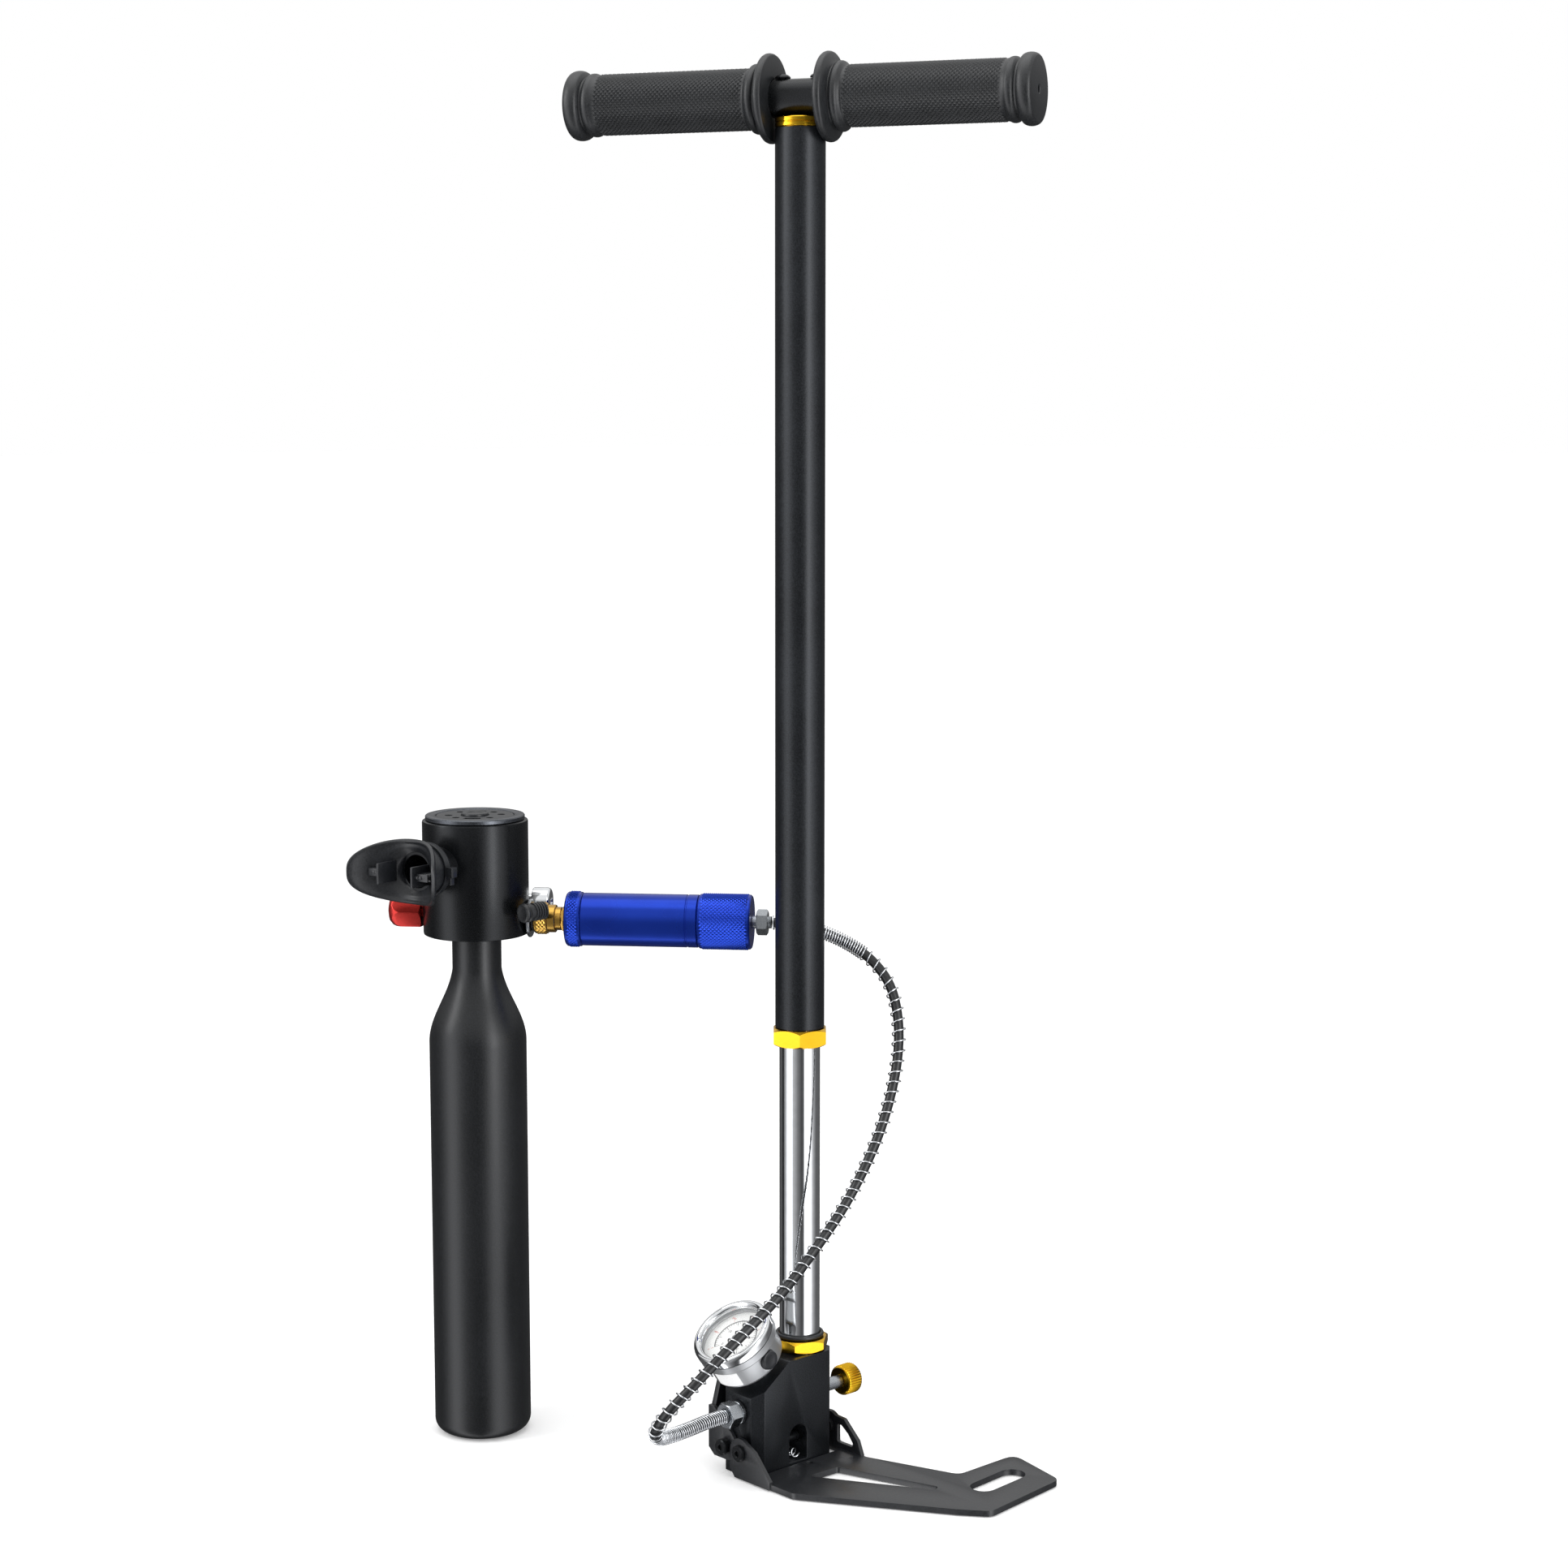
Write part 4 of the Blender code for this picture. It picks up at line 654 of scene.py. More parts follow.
# %% Gold nuts, collar and buffer
low, high = span("gland_nut")
gland = hexagon("gold_gland_nut", 32.0, low.z, high.z, CHROME_RADIUS + 0.3)
gland = round_edges(place(gland, turn=-43), 0.3)
fit(gland, GOLD_ANODISED, "sleeve", "gold_anodised", "gland_nut")
low, high = span("base_nut")
foot_nut = hexagon("gold_base_nut", 33.0, low.z, high.z, CHROME_RADIUS + 0.3)
foot_nut = round_edges(place(foot_nut, turn=8), 0.3)
fit(foot_nut, GOLD_ANODISED, "base", "gold_anodised", "base_nut")

low, high = span("top_cap")
flange = span("outer_tube")[1].z + 0.3
outline = [(0, low.z), (13.2, low.z), (13.2, flange), (14.7, flange), (15, flange + 0.3)]
outline += [(15, high.z - 3.4), (14.6, high.z - 3.1), (14.6, high.z - 2.8), (15, high.z - 2.5)]
outline += [(15, high.z - 0.5), (14.5, high.z), (0, high.z)]
fit(place(turn_outline("gold_collar", outline)), GOLD_ANODISED, "sleeve", "gold_anodised", "top_cap")

low, high = span("buffer_ring")
centre = (low.z + high.z) / 2
outline = []
for number in range(16):
    angle = 2 * math.pi * number / 16
    outline.append((13.95 + 1.1 * math.cos(angle), centre + 1.33 * math.sin(angle)))
outline = [(max(radius, CHROME_RADIUS + 0.32), height) for radius, height in outline]
fit(place(turn_outline("rubber_buffer", outline)), SEAL_RUBBER, "base", "seal_rubber", "buffer_ring")

# %% [markdown]
# ## The handle
#
# A black cross tube sits on the collar, held by two button-head screws. Each moulded grip has a wide
# flange against the hand, a neck, a knurled middle and a beaded end. The knurl's diamonds are
# really 1.9 mm across. They are drawn at 2.8 mm, so that they show from two metres away, and the grid is
# half of that.

# %% Cross tube and screws
centre = UP * BAR_HEIGHT
bar = turn_outline("cross_tube", tube_outline(11.1, 9.1, -143, 143, 0.5))
fit(place(bar, centre, BAR_WAY), SATIN_BLACK, "sleeve", "black_anodised", "handle_bar")

SCREW_PLACE, DOME = 11.0, range(10, 65, 9)
for side, way in (("left", -1), ("right", 1)):
    low, high = span("handle_screw_" + side)
    head = high.z - 2.6
    dome = [(4.75 * math.cos(turn), head + 2.6 * math.sin(turn)) for turn in map(math.radians, DOME)]
    outline = [(0, low.z), (2.5, low.z), (2.5, head), (4.6, head), *dome, (1.9, high.z), (0, high.z)]
    screw = turn_outline(f"button_screw_{side}", outline, 48)
    socket = hexagon("socket", 3.0, head + 0.9, high.z + 1, 0)
    screw = combine(screw, socket, "DIFFERENCE")
    place(screw, BAR_WAY * SCREW_PLACE * way)
    fit(screw, BLACK_OXIDE, "sleeve", "black_screw", "handle_screw_" + side)

# %% Grips
GRIP_MIDDLE, GRIP_FLANGE, GRIP_END = 17.5, 26.2, 20.8
GRIP_START, END_WALL = 16.0, 143.3
GRIP_SIDES, GRIP_STEP = 78, 1.4
outer_end = END_WALL + 1.9
band_low, band_high = GRIP_START + 15.0, outer_end - 18.5
grip_rows = steps_between(band_low, band_high, GRIP_STEP)


def bead(centre, height, radius, reach, start, end, points=6):
    """A rounded bead of an outline: an arc about a centre radius, from one angle to another."""
    found = []
    for number in range(points + 1):
        angle = math.radians(start + (end - start) * number / points)
        found.append((centre + radius * math.cos(angle), height + reach * math.sin(angle)))
    return found


grip_outline = [(11.4, GRIP_START)]
grip_outline += bead(GRIP_FLANGE - 1.6, GRIP_START + 2.5, 1.6, 2.5, -90, 75)
grip_outline += [(GRIP_MIDDLE + 4.0, GRIP_START + 5.5), (GRIP_MIDDLE + 1.6, GRIP_START + 6.9)]
grip_outline += bead(GRIP_MIDDLE + 1.2, GRIP_START + 10.2, 1.8, 2.6, -80, 70)
grip_outline += [(GRIP_MIDDLE + 0.5, GRIP_START + 13.6), (GRIP_MIDDLE, band_low - 0.4)]
grip_outline += [(GRIP_MIDDLE, height) for height in grip_rows]
grip_outline += bead(GRIP_MIDDLE + 0.2, outer_end - 14.0, 1.1, 2.4, -70, 70)
grip_outline += [(GRIP_MIDDLE - 0.5, outer_end - 10.6), (GRIP_MIDDLE - 0.4, outer_end - 9.6)]
grip_outline += bead(GRIP_END - 2.2, outer_end - 4.4, 2.2, 4.4, -75, 90, 9)
grip_outline += [(2.9, outer_end), (2.3, outer_end - 0.5), (2.3, END_WALL), (11.4, END_WALL)]
for side, way in (("left", -1), ("right", 1)):
    grip = turn_outline(f"grip_rubber_{side}", grip_outline, GRIP_SIDES)
    knurl(grip, GRIP_MIDDLE, band_low, band_high, len(grip_rows) - 1, GRIP_SIDES, 0.7)
    fit(place(grip, centre, BAR_WAY * way), GRIP_RUBBER, "sleeve", "grip_rubber", f"grip_{side}")

# %% [markdown]
# ## The block, the pedal and the rear foot
#
# The block is milled from aluminium bar and the pedals are pressed from steel plate and dipped in plastic.
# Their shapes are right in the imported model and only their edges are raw. So each is a copy of its node
# whose triangles are merged back into flat faces, and whose edges get a Bevel: small on the milled block,
# and large on the dipped plate, where the plastic flows round the edge.

# %% Block
block = refined("base_block", "pump_block", 0.5, 2, 28)
fit(block, BLACK_ANODISED, "base", "black_anodised", "base_block")

# %% Pedal and rear foot
pedal = refined("front_pedal", "dipped_pedal", 1.1, 3, 40)
fit(pedal, DIPPED, "pedal", "coated_steel", "front_pedal")
foot = refined("rear_foot", "dipped_rear_foot", 1.0, 3, 40)
fit(foot, DIPPED, "foot", "coated_steel", "rear_foot")

# %% [markdown]
# The hinge pins are shouldered rivets with a drilled end. Both are alike, so one is modelled and the other
# is a copy with its own mesh, moved along the block.

# %% Hinge pins
PIN_PLACE, PIN_HEIGHT = 7.7, 17.0
low, high = span("front_hinge_pin")
head = 2.2
outline = [(0, low.y + 1.6), (1.6, low.y + 1.6), (1.75, low.y + 0.2), (2.0, low.y)]
outline += [(4.3, low.y), (5, low.y + 0.7)]
outline += [(5, low.y + head), (3, low.y + head), (3, high.y - head), (5, high.y - head), (5, high.y - 0.7)]
outline += [(4.3, high.y), (2.0, high.y), (1.75, high.y - 0.2), (1.6, high.y - 1.6), (0, high.y - 1.6)]
front_pin = turn_outline("front_hinge_rivet", outline, 48)
choose(front_pin)
bpy.ops.object.duplicate()
rear_pin = bpy.context.object
rear_pin.name = rear_pin.data.name = "rear_hinge_rivet"
along_y = Vector((0, 1, 0))
place(front_pin, (PIN_PLACE, 0, PIN_HEIGHT), along_y)
place(rear_pin, (-PIN_PLACE, 0, PIN_HEIGHT), along_y)
fit(front_pin, BLACK_OXIDE, "base", "black_screw", "front_hinge_pin")
fit(rear_pin, BLACK_OXIDE, "base", "black_screw", "rear_hinge_pin")

# %% [markdown]
# The spring at the foot of the slot pulls both pedals shut. It is wound wire, so it is a helix with evenly
# spaced turns.

# %% Fold spring
low, high = span("fold_spring")
centre = middle("fold_spring")
SPRING_WIRE, SPRING_TURNS = 0.55, 9
half = (high.x - low.x) / 2 - 0.3
coil = high.z - centre.z - SPRING_WIRE
spots = []
for number in range(SPRING_TURNS * 20 + 1):
    angle = 2 * math.pi * number / 20
    across = -half + 2 * half * number / (SPRING_TURNS * 20)
    spots.append((centre + Vector((across, coil * math.cos(angle), coil * math.sin(angle)))) * MM)
fit(wire("fold_spring_wire", spots, SPRING_WIRE * MM, 3), SPRING_STEEL, "base", "zinc_steel", "fold_spring")

# %% [markdown]
# ## The gauge
#
# A round steel case leans back on the block's slope. A rolled chrome bezel on the case's wider
# rim holds the glass, and a black
# rubber plug closes the blow-out hole in the case's side. All the turned parts share one axis.

# %% Gauge case, bezel and glass
CASE_RADIUS, CASE_FLOOR = 23.0, 11.0
outline = [(0, -7.7), (4.9, -7.7), (4.9, 0.3), (7.0, 0.3), (7.2, 0.6), (7.2, 7.7), (6.8, 8.2), (5, 8.6)]
stem = turn_outline("gauge_stem_turned", [*outline, (5, 10.7), (0, 10.7)], 48)
fit(place(stem, GAUGE_FOOT, GAUGE_WAY), ZINC, "base", "zinc_steel", "gauge_stem")

outline = [(0, CASE_FLOOR), (17, CASE_FLOOR)]
outline += bead(CASE_RADIUS - 2.5, CASE_FLOOR + 2.5, 2.5, 2.5, -90, 0)
outline += [(CASE_RADIUS, 25.4), (CASE_RADIUS + 1.9, 26.2), (CASE_RADIUS + 2.3, 26.8)]
outline += [(CASE_RADIUS + 2.3, 31.4), (CASE_RADIUS - 1.5, 31.4), (CASE_RADIUS - 1.5, 12.5), (0, 12.5)]
case = turn_outline("gauge_case_brushed", outline, 128)
place(case, GAUGE_FOOT, GAUGE_WAY)
plug_centre = GAUGE_FOOT + GAUGE_WAY * 19.3
along_x = Vector((1, 0, 0))
cutter = place(turn_outline("plug_seat", bar_outline(6.2, 12, 30), 48), plug_centre, along_x)
case = round_edges(combine(case, cutter, "DIFFERENCE"), 0.25, 2, 40)
fit(case, BRUSHED, "base", "gauge_steel", "gauge_case")

outline = [(0, 19.8), (5.9, 19.8), (5.9, 23.2), *bead(4.9, 23.6, 1.0, 1.2, 0, 80, 4), (3.0, 24.5), (0, 24.1)]
plug = turn_outline("gauge_blowout_plug", outline, 48)
fit(place(plug, plug_centre, along_x), PLASTIC, "base", "black_plastic", "gauge_plug")

outline = [(CASE_RADIUS + 0.4, 31.7), (CASE_RADIUS + 2.1, 31.7), (CASE_RADIUS + 2.5, 32.2)]
outline += bead(CASE_RADIUS + 0.1, 35.2, 2.4, 2.8, 0, 180, 14)
outline += [(20.6, 34.6), (20.4, 35.6), (CASE_RADIUS + 0.4, 35.6)]
bezel = turn_outline("gauge_bezel_rolled", outline, 128)
fit(place(bezel, GAUGE_FOOT, GAUGE_WAY), CHROME, "base", "chrome_plate", "gauge_bezel")
lens = turn_outline("gauge_glass", bar_outline(CASE_RADIUS, 33.3, 35.3, 0.2), 128)
fit(place(lens, GAUGE_FOOT, GAUGE_WAY), GLASS, "base", "clear_glass", "gauge_lens")

# %% [markdown]
# The dial is a disc with printed marks. The scale runs through 270 degrees: a band, ticks on both sides of
# it and plain numbers. A mark is a thin plate just proud of the enamel, so that it shows from any side and
# is kept when the model is exported. Each tick is a scaled cube laid at its own angle about the axis.

# %% Dial and its marks
DIAL_TOP, DIAL_START, DIAL_SWEEP = 30.3, 225, -270
dial = turn_outline("dial_disc", bar_outline(21.2, 29.5, DIAL_TOP, 0.1), 96)
fit(place(dial, GAUGE_FOOT, GAUGE_WAY), ENAMEL, "base", "dial_white", "gauge_dial")


def tick(name, angle, inner, outer, width):
    """A flat radial mark at an angle in degrees, as a scaled cube laid on the dial."""
    deselect()
    turn = math.radians(angle)
    reach = (inner + outer) / 2
    spot = Vector((reach * math.cos(turn), reach * math.sin(turn), DIAL_TOP + 0.04))
    bpy.ops.mesh.primitive_cube_add(size=1, location=spot * MM, rotation=(0, 0, turn))
    mark = bpy.context.object
    mark.name = mark.data.name = name
    mark.scale = Vector((outer - inner, width, 0.08)) * MM
    bpy.ops.object.transform_apply(location=True, rotation=True, scale=True)
    return mark


def band(name, radius, width, start, sweep, steps):
    """A printed arc: a thin rod of outline spun through part of a turn."""
    deselect()
    bpy.ops.mesh.primitive_plane_add(size=1)
    piece = bpy.context.object
    piece.name = piece.data.name = name
    piece.scale = Vector((width, 0.08, 1)) * MM
    piece.rotation_euler = (math.radians(90), 0, 0)
    piece.location = Vector((radius, 0, DIAL_TOP + 0.04)) * MM
    bpy.ops.object.transform_apply(location=True, rotation=True, scale=True)
    bpy.ops.object.mode_set(mode="EDIT")
    bpy.ops.mesh.select_all(action="SELECT")
    bpy.ops.mesh.spin(steps=steps, angle=-math.radians(sweep), center=(0, 0, 0), axis=(0, 0, 1))
    bpy.ops.mesh.select_all(action="SELECT")
    bpy.ops.mesh.normals_make_consistent(inside=False)
    bpy.ops.object.mode_set(mode="OBJECT")
    piece.rotation_euler = (0, 0, math.radians(start))
    bpy.ops.object.transform_apply(location=False, rotation=True, scale=False)
    return piece


def number_mark(text, angle, radius, height):
    """A number as a thin mesh, upright on the dial."""
    deselect()
    bpy.ops.object.text_add()
    mark = bpy.context.object
    mark.data.body = text
    mark.data.size = height * MM
    mark.data.align_x = "CENTER"
    mark.data.align_y = "CENTER"
    mark.data.extrude = 0.04 * MM
    bpy.ops.object.convert(target="MESH")
    mark = bpy.context.object
    turn = math.radians(angle)
    mark.location = Vector((radius * math.cos(turn), radius * math.sin(turn), DIAL_TOP + 0.05)) * MM
    bpy.ops.object.transform_apply(location=True, rotation=True, scale=True)
    return mark


black_marks = [band("dial_black_band", 14.0, 0.8, DIAL_START, DIAL_SWEEP, 60)]
for number in range(41):
    angle = DIAL_START + DIAL_SWEEP * number / 40
    longer = 1.4 if number % 5 == 0 else 0.0
    black_marks.append(tick("dial_tick", angle, 12.3 - longer, 13.6, 0.32 if longer else 0.2))
for number in range(5):
    angle = DIAL_START + DIAL_SWEEP * number / 4
    black_marks.append(number_mark(str(number * 10), angle, 9.0, 2.6))
red_marks = [band("dial_red_band", 14.9, 0.5, DIAL_START + DIAL_SWEEP, 60, 16)]
for number in range(7):
    angle = DIAL_START + DIAL_SWEEP * number / 6
    red_marks.append(tick("dial_red_tick", angle, 15.0, 16.4, 0.3))
    red_marks.append(number_mark(str(number * 1000), angle, 18.2, 1.7))
PRINTS = (("dial_black_marks", black_marks, DIAL_BLACK), ("dial_red_marks", red_marks, DIAL_RED))
for name, marks, material in PRINTS:
    printed = join(*marks)
    printed.name = printed.data.name = name
    fit(place(printed, GAUGE_FOOT, GAUGE_WAY), material, "base", "dial_white")

# %% [markdown]
# The needle turns on its own joint, so it is one piece with its hub. It is a flat cube drawn out to a point
# by scaling its far face, and the hub is turned.

# %% Needle
deselect()
NEEDLE_FOOT = 31.0
bpy.ops.mesh.primitive_cube_add(size=MM, location=Vector((0, 4.75, NEEDLE_FOOT + 0.2)) * MM)
needle = bpy.context.object
needle.name = needle.data.name = "gauge_needle_black"
needle.scale = (1.3, 21.5, 0.35)
bpy.ops.object.transform_apply(location=True, rotation=True, scale=True)
bpy.ops.object.mode_set(mode="EDIT")
pick_vertices(lambda vertex: vertex.co.y > 0.01)
bpy.ops.transform.resize(value=(0.25, 1, 1))
bpy.ops.object.mode_set(mode="OBJECT")
hub = turn_outline("needle_hub", bar_outline(2.2, NEEDLE_FOOT - 0.2, NEEDLE_FOOT + 0.9, 0.3), 32)
needle = place(join(needle, hub), GAUGE_FOOT, GAUGE_WAY)
needle.name = "gauge_needle_black"
fit(needle, DIAL_BLACK, "needle", "black_plastic", "gauge_needle")

# %% [markdown]
# A plain paper label is stuck round the case's lower side. It is a flat sheet rolled to the case's
# radius: a strip spun through 44 degrees, given thickness by Solidify.

# %% Case label
LABEL_START, LABEL_SWEEP = 262, 44
deselect()
bpy.ops.mesh.primitive_plane_add(size=MM)
label = bpy.context.object
label.name = label.data.name = "gauge_paper_label"
bpy.ops.object.mode_set(mode="EDIT")
bpy.ops.mesh.merge(type="CENTER")
bpy.ops.transform.translate(value=Vector((CASE_RADIUS + 0.06, 0, 13.8)) * MM)
bpy.ops.mesh.extrude_region_move(TRANSFORM_OT_translate={"value": Vector((0, 0, 10.4)) * MM})
bpy.ops.mesh.select_all(action="SELECT")
bpy.ops.mesh.spin(steps=24, angle=-math.radians(LABEL_SWEEP), center=(0, 0, 0), axis=(0, 0, 1))
bpy.ops.object.mode_set(mode="OBJECT")
thickness = label.modifiers.new("paper", "SOLIDIFY")
thickness.thickness = 0.12 * MM
thickness.offset = 0
choose(label)
bpy.ops.object.modifier_apply(modifier="paper")
fit(place(label, GAUGE_FOOT, GAUGE_WAY, LABEL_START), PAPER, "base", "gauge_steel")

# %% [markdown]
# ## Bleed knob and hose fittings
#
# The gold bleed knob has a straight knurl: 36 ribs along its rim. The hose fitting is a turned flange
# with a six-sided nut.

# %% Bleed knob
BLEED_FOOT = Vector((6, BLOCK_RIGHT, 42))
screw = turn_outline("bleed_screw_turned", bar_outline(4, -7.5, 13.7, 0.4), 48)
fit(place(screw, BLEED_FOOT, along_y), ZINC, "bleed", "zinc_steel", "bleed_screw")
KNOB_RIBS = 36
outline = [(0, 14), (8.2, 14), (8.8, 14.6), (8.8, 15.4), (8.8, 20.2), (8.8, 24.2), (8.8, 25.0)]
outline += [(8.2, 25.6), (6.4, 25.6)]
knob = turn_outline("bleed_knob_ribbed", [*outline, (6.0, 25.2), (0, 25.2)], 2 * KNOB_RIBS)
knurl(knob, 8.8, 14.7, 24.9, 1, 2 * KNOB_RIBS, 0.7, diamond=False)
fit(place(knob, BLEED_FOOT, along_y), GOLD_ANODISED, "bleed", "gold_anodised", "bleed_knob")

# %% Fittings at both ends of the hose
FITTING_FOOT = Vector((1, BLOCK_LEFT, 40))
outline = [(0, -7.5), (4.5, -7.5), (4.5, 0.3), (6.6, 0.3), (7.2, 0.8), (7.2, 2.8), (6.6, 3.3), (4.4, 3.3)]
fitting = turn_outline("hose_fitting_turned", [*outline, (4.4, 12.6), (4.0, 13), (0, 13)], 64)
fit(place(fitting, FITTING_FOOT, -along_y), ZINC, "base", "zinc_steel", "base_fitting")
nut = place(hexagon("hose_fitting_nut", 14.5, 3.6, 12.0, 4.7), FITTING_FOOT, -along_y)
fit(round_edges(nut, 0.25), ZINC, "base", "zinc_steel", "base_fitting_nut")

INLET_END = 174.0
threads = [(3.9 - 0.35 * (number % 2), INLET_END + 10.3 + 0.45 * number) for number in range(5)]
outline = [(0, INLET_END + 0.3), (3.9, INLET_END + 0.3), (3.9, INLET_END + 10)]
outline += [*threads, (0, INLET_END + 12.6)]
nipple = turn_outline("filter_nipple_turned", outline, 48)
fit(place(nipple, FILL_FOOT, FILL_WAY), ZINC, "base", "zinc_steel", "filter_nipple")
nut = place(hexagon("hose_end_nut", 14.0, INLET_END + 3, INLET_END + 10, 4.2), FILL_FOOT, FILL_WAY, 20)
fit(round_edges(nut, 0.25), ZINC, "base", "zinc_steel", "hose_nut")

# %% [markdown]
# ## The filter
#
# The filter is three blue turned pieces: a plain body with a knurled cap on each end. The diamonds
# are really 1.6 mm across and are drawn at 2.4 mm, so that they show. A shallow groove near the inlet
# cap marks where the body ends.

# %% Filter caps and body
CAP_RADIUS, CAP_SIDES, CAP_STEP = 17.0, 90, 1.2


def knurled_cap(name, low, high, node):
    """A filter cap with chamfered ends and a diamond knurl between them."""
    rows = steps_between(low + 1.6, high - 1.6, CAP_STEP)
    outline = [(0, low), (16.2, low), (CAP_RADIUS, low + 0.8), (CAP_RADIUS, low + 1.3)]
    outline += [(CAP_RADIUS, height) for height in rows]
    outline += [(CAP_RADIUS, high - 1.3), (CAP_RADIUS, high - 0.8), (16.2, high), (0, high)]
    cap = turn_outline(name, outline, CAP_SIDES)
    knurl(cap, CAP_RADIUS, rows[0], rows[-1], len(rows) - 1, CAP_SIDES, 0.6)
    return fit(place(cap, FILL_FOOT, FILL_WAY), BLUE_ANODISED, "base", "blue_anodised", node)


knurled_cap("filter_outlet_cap_knurled", 58.0, 68.0, "filter_outlet_cap")
knurled_cap("filter_inlet_cap_knurled", 141.0, INLET_END, "filter_inlet_cap")
outline = [(12.5, 68.3), (16.2, 68.3), (16.5, 68.6), (16.5, 133.4), (16.1, 133.7), (16.1, 134.3)]
outline += [(16.5, 134.6)]
body = turn_outline("filter_body_turned", [*outline, (16.5, 140.4), (16.2, 140.7), (12.5, 140.7)], 128)
fit(place(body, FILL_FOOT, FILL_WAY), BLUE_ANODISED, "base", "blue_anodised", "filter_body")

# %% [markdown]
# ## The quick coupler and the fill adapter
#
# The brass coupler snaps onto the cylinder's fill nipple. Its sleeve has a coarse knurl and a smooth
# barrel, and slides back by 3 mm to let go. The body ends in a small hexagon against the filter.

# %% Coupler, adapter and safety plug
SLEEVE_SIDES = 40
rows = steps_between(38.6, 45.4, 1.2)
outline = [(7.6, 37.6), (9.0, 37.6), (9.5, 38.2), *[(9.5, height) for height in rows]]
outline += [(9.5, 45.8), (8.7, 46.3)]
outline += [(8.7, 50.5), (8.4, 50.9), (7.6, 50.9)]
sleeve = turn_outline("coupler_sleeve_knurled", outline, SLEEVE_SIDES)
knurl(sleeve, 9.5, rows[0], rows[-1], len(rows) - 1, SLEEVE_SIDES, 0.6)
fit(place(sleeve, FILL_FOOT, FILL_WAY), BRASS, "coupler", "brass", "coupler_sleeve")

outline = [(5.3, 38), (7.1, 38), (7.3, 38.2), (7.3, 54.2), (6.6, 54.4), (6.6, 57.6)]
outline += [(0, 57.6), (0, 50.1), (5.3, 50.1)]
coupler = turn_outline("coupler_body_turned", outline, 64)
collar = round_edges(hexagon("coupler_hexagon", 14.2, 54.6, 57.7, 6.6), 0.2)
coupler = place(join(coupler, collar), FILL_FOOT, FILL_WAY)
fit(coupler, BRASS, "base", "brass", "coupler_body")

outline = [(0, 26.9), (6, 26.9), (6, 33.4), (11.4, 33.4), (12, 34), (12, 35), (11.4, 35.6)]
outline += [(5, 35.6), (5, 49.2)]
adapter = turn_outline("fill_adapter_turned", [*outline, (4.6, 49.6), (0, 49.6)], 64)
fit(place(adapter, FILL_FOOT, FILL_WAY), ZINC, "base", "zinc_steel", "fill_adapter")

PLUG_FOOT = FILL_FOOT - FILL_WAY.cross(UP) * 20.5 + UP * 7
outline = [(0, 22), (5, 22), (5, 32.5), (8.4, 32.5), (9, 33.1), (9, 41.6)]
outline += [*bead(6.6, 41.6, 2.4, 2.4, 0, 90, 6), (3.4, 44.0), (3.0, 43.4), (0, 43.4)]
plug = turn_outline("safety_plug_polished", outline, 64)
fit(place(plug, PLUG_FOOT, FILL_WAY), CHROME, "base", "chrome_plate", "safety_plug")

# %% [markdown]
# The dust cap is moulded rubber: a thick round head, a neck, and a ribbed skirt that grips the nipple. Its
# strap is a ring with a thin tongue, and the tongue runs into the skirt, so cap and strap move as one.

# %% Dust cap and strap
CAP_LIFT = math.radians(20)
CAP_WAY = FILL_WAY.cross(UP) * math.cos(CAP_LIFT) + UP * math.sin(CAP_LIFT)
STRAP_PLACE = 35.9
DUST_FOOT = FILL_FOOT + FILL_WAY * (STRAP_PLACE + 4.1) + CAP_WAY * 22.0
outline = [(0, 5.5), (4.4, 5.5), (4.4, -8.5), (5.2, -8.5)]
for number in range(5):
    rib = -8.1 + 1.9 * number
    outline += [(5.7, rib), (5.7, rib + 1.0), (4.95, rib + 1.3), (4.95, rib + 1.6)]
outline += [(4.95, 2.6), (6.0, 3.2), (6.0, 4.6), (5.2, 5.2), (5.2, 5.6)]
outline += bead(4.9, 7.1, 1.1, 1.4, -60, 90, 8)
dust_cap = turn_outline("dust_cap_ribbed", [*outline, (3.8, 8.2), (0, 8.2)], 64)
fit(place(dust_cap, DUST_FOOT, -along_y), SEAL_RUBBER, "cap", "seal_rubber", "dust_cap")

strap = turn_outline("dust_cap_strap_ring", tube_outline(8.2, 5.3, 0, 1.5, 0.4), 48)
place(strap, FILL_FOOT + FILL_WAY * STRAP_PLACE, FILL_WAY)
deselect()
bpy.ops.mesh.primitive_cube_add(size=MM)
tongue = bpy.context.object
tongue.name = tongue.data.name = "strap_tongue"
tongue.scale = (1.3, 4.4, 9.5)
bpy.ops.object.transform_apply(location=True, rotation=True, scale=True)
tongue = round_edges(tongue, 0.4)
turn = Matrix((FILL_WAY, FILL_WAY.cross(CAP_WAY) * -1, CAP_WAY)).transposed().to_4x4()
tongue_foot = FILL_FOOT + FILL_WAY * (STRAP_PLACE + 0.8) + CAP_WAY * 11.9
tongue.matrix_world = Matrix.Translation(tongue_foot * MM) @ turn
choose(tongue)
bpy.ops.object.transform_apply(location=True, rotation=True, scale=True)
fit(join(strap, tongue), SEAL_RUBBER, "cap", "seal_rubber", "dust_cap_strap")

# %% [markdown]
# ## The cylinder and the head
#
# The cylinder is spun from aluminium and painted matt black: a round foot, a straight wall, and a shoulder
# that draws in to the neck in one soft S. The head is a turned cup on top of it. Curved stretches of an
# outline come from a formula, so that they have no kinks.

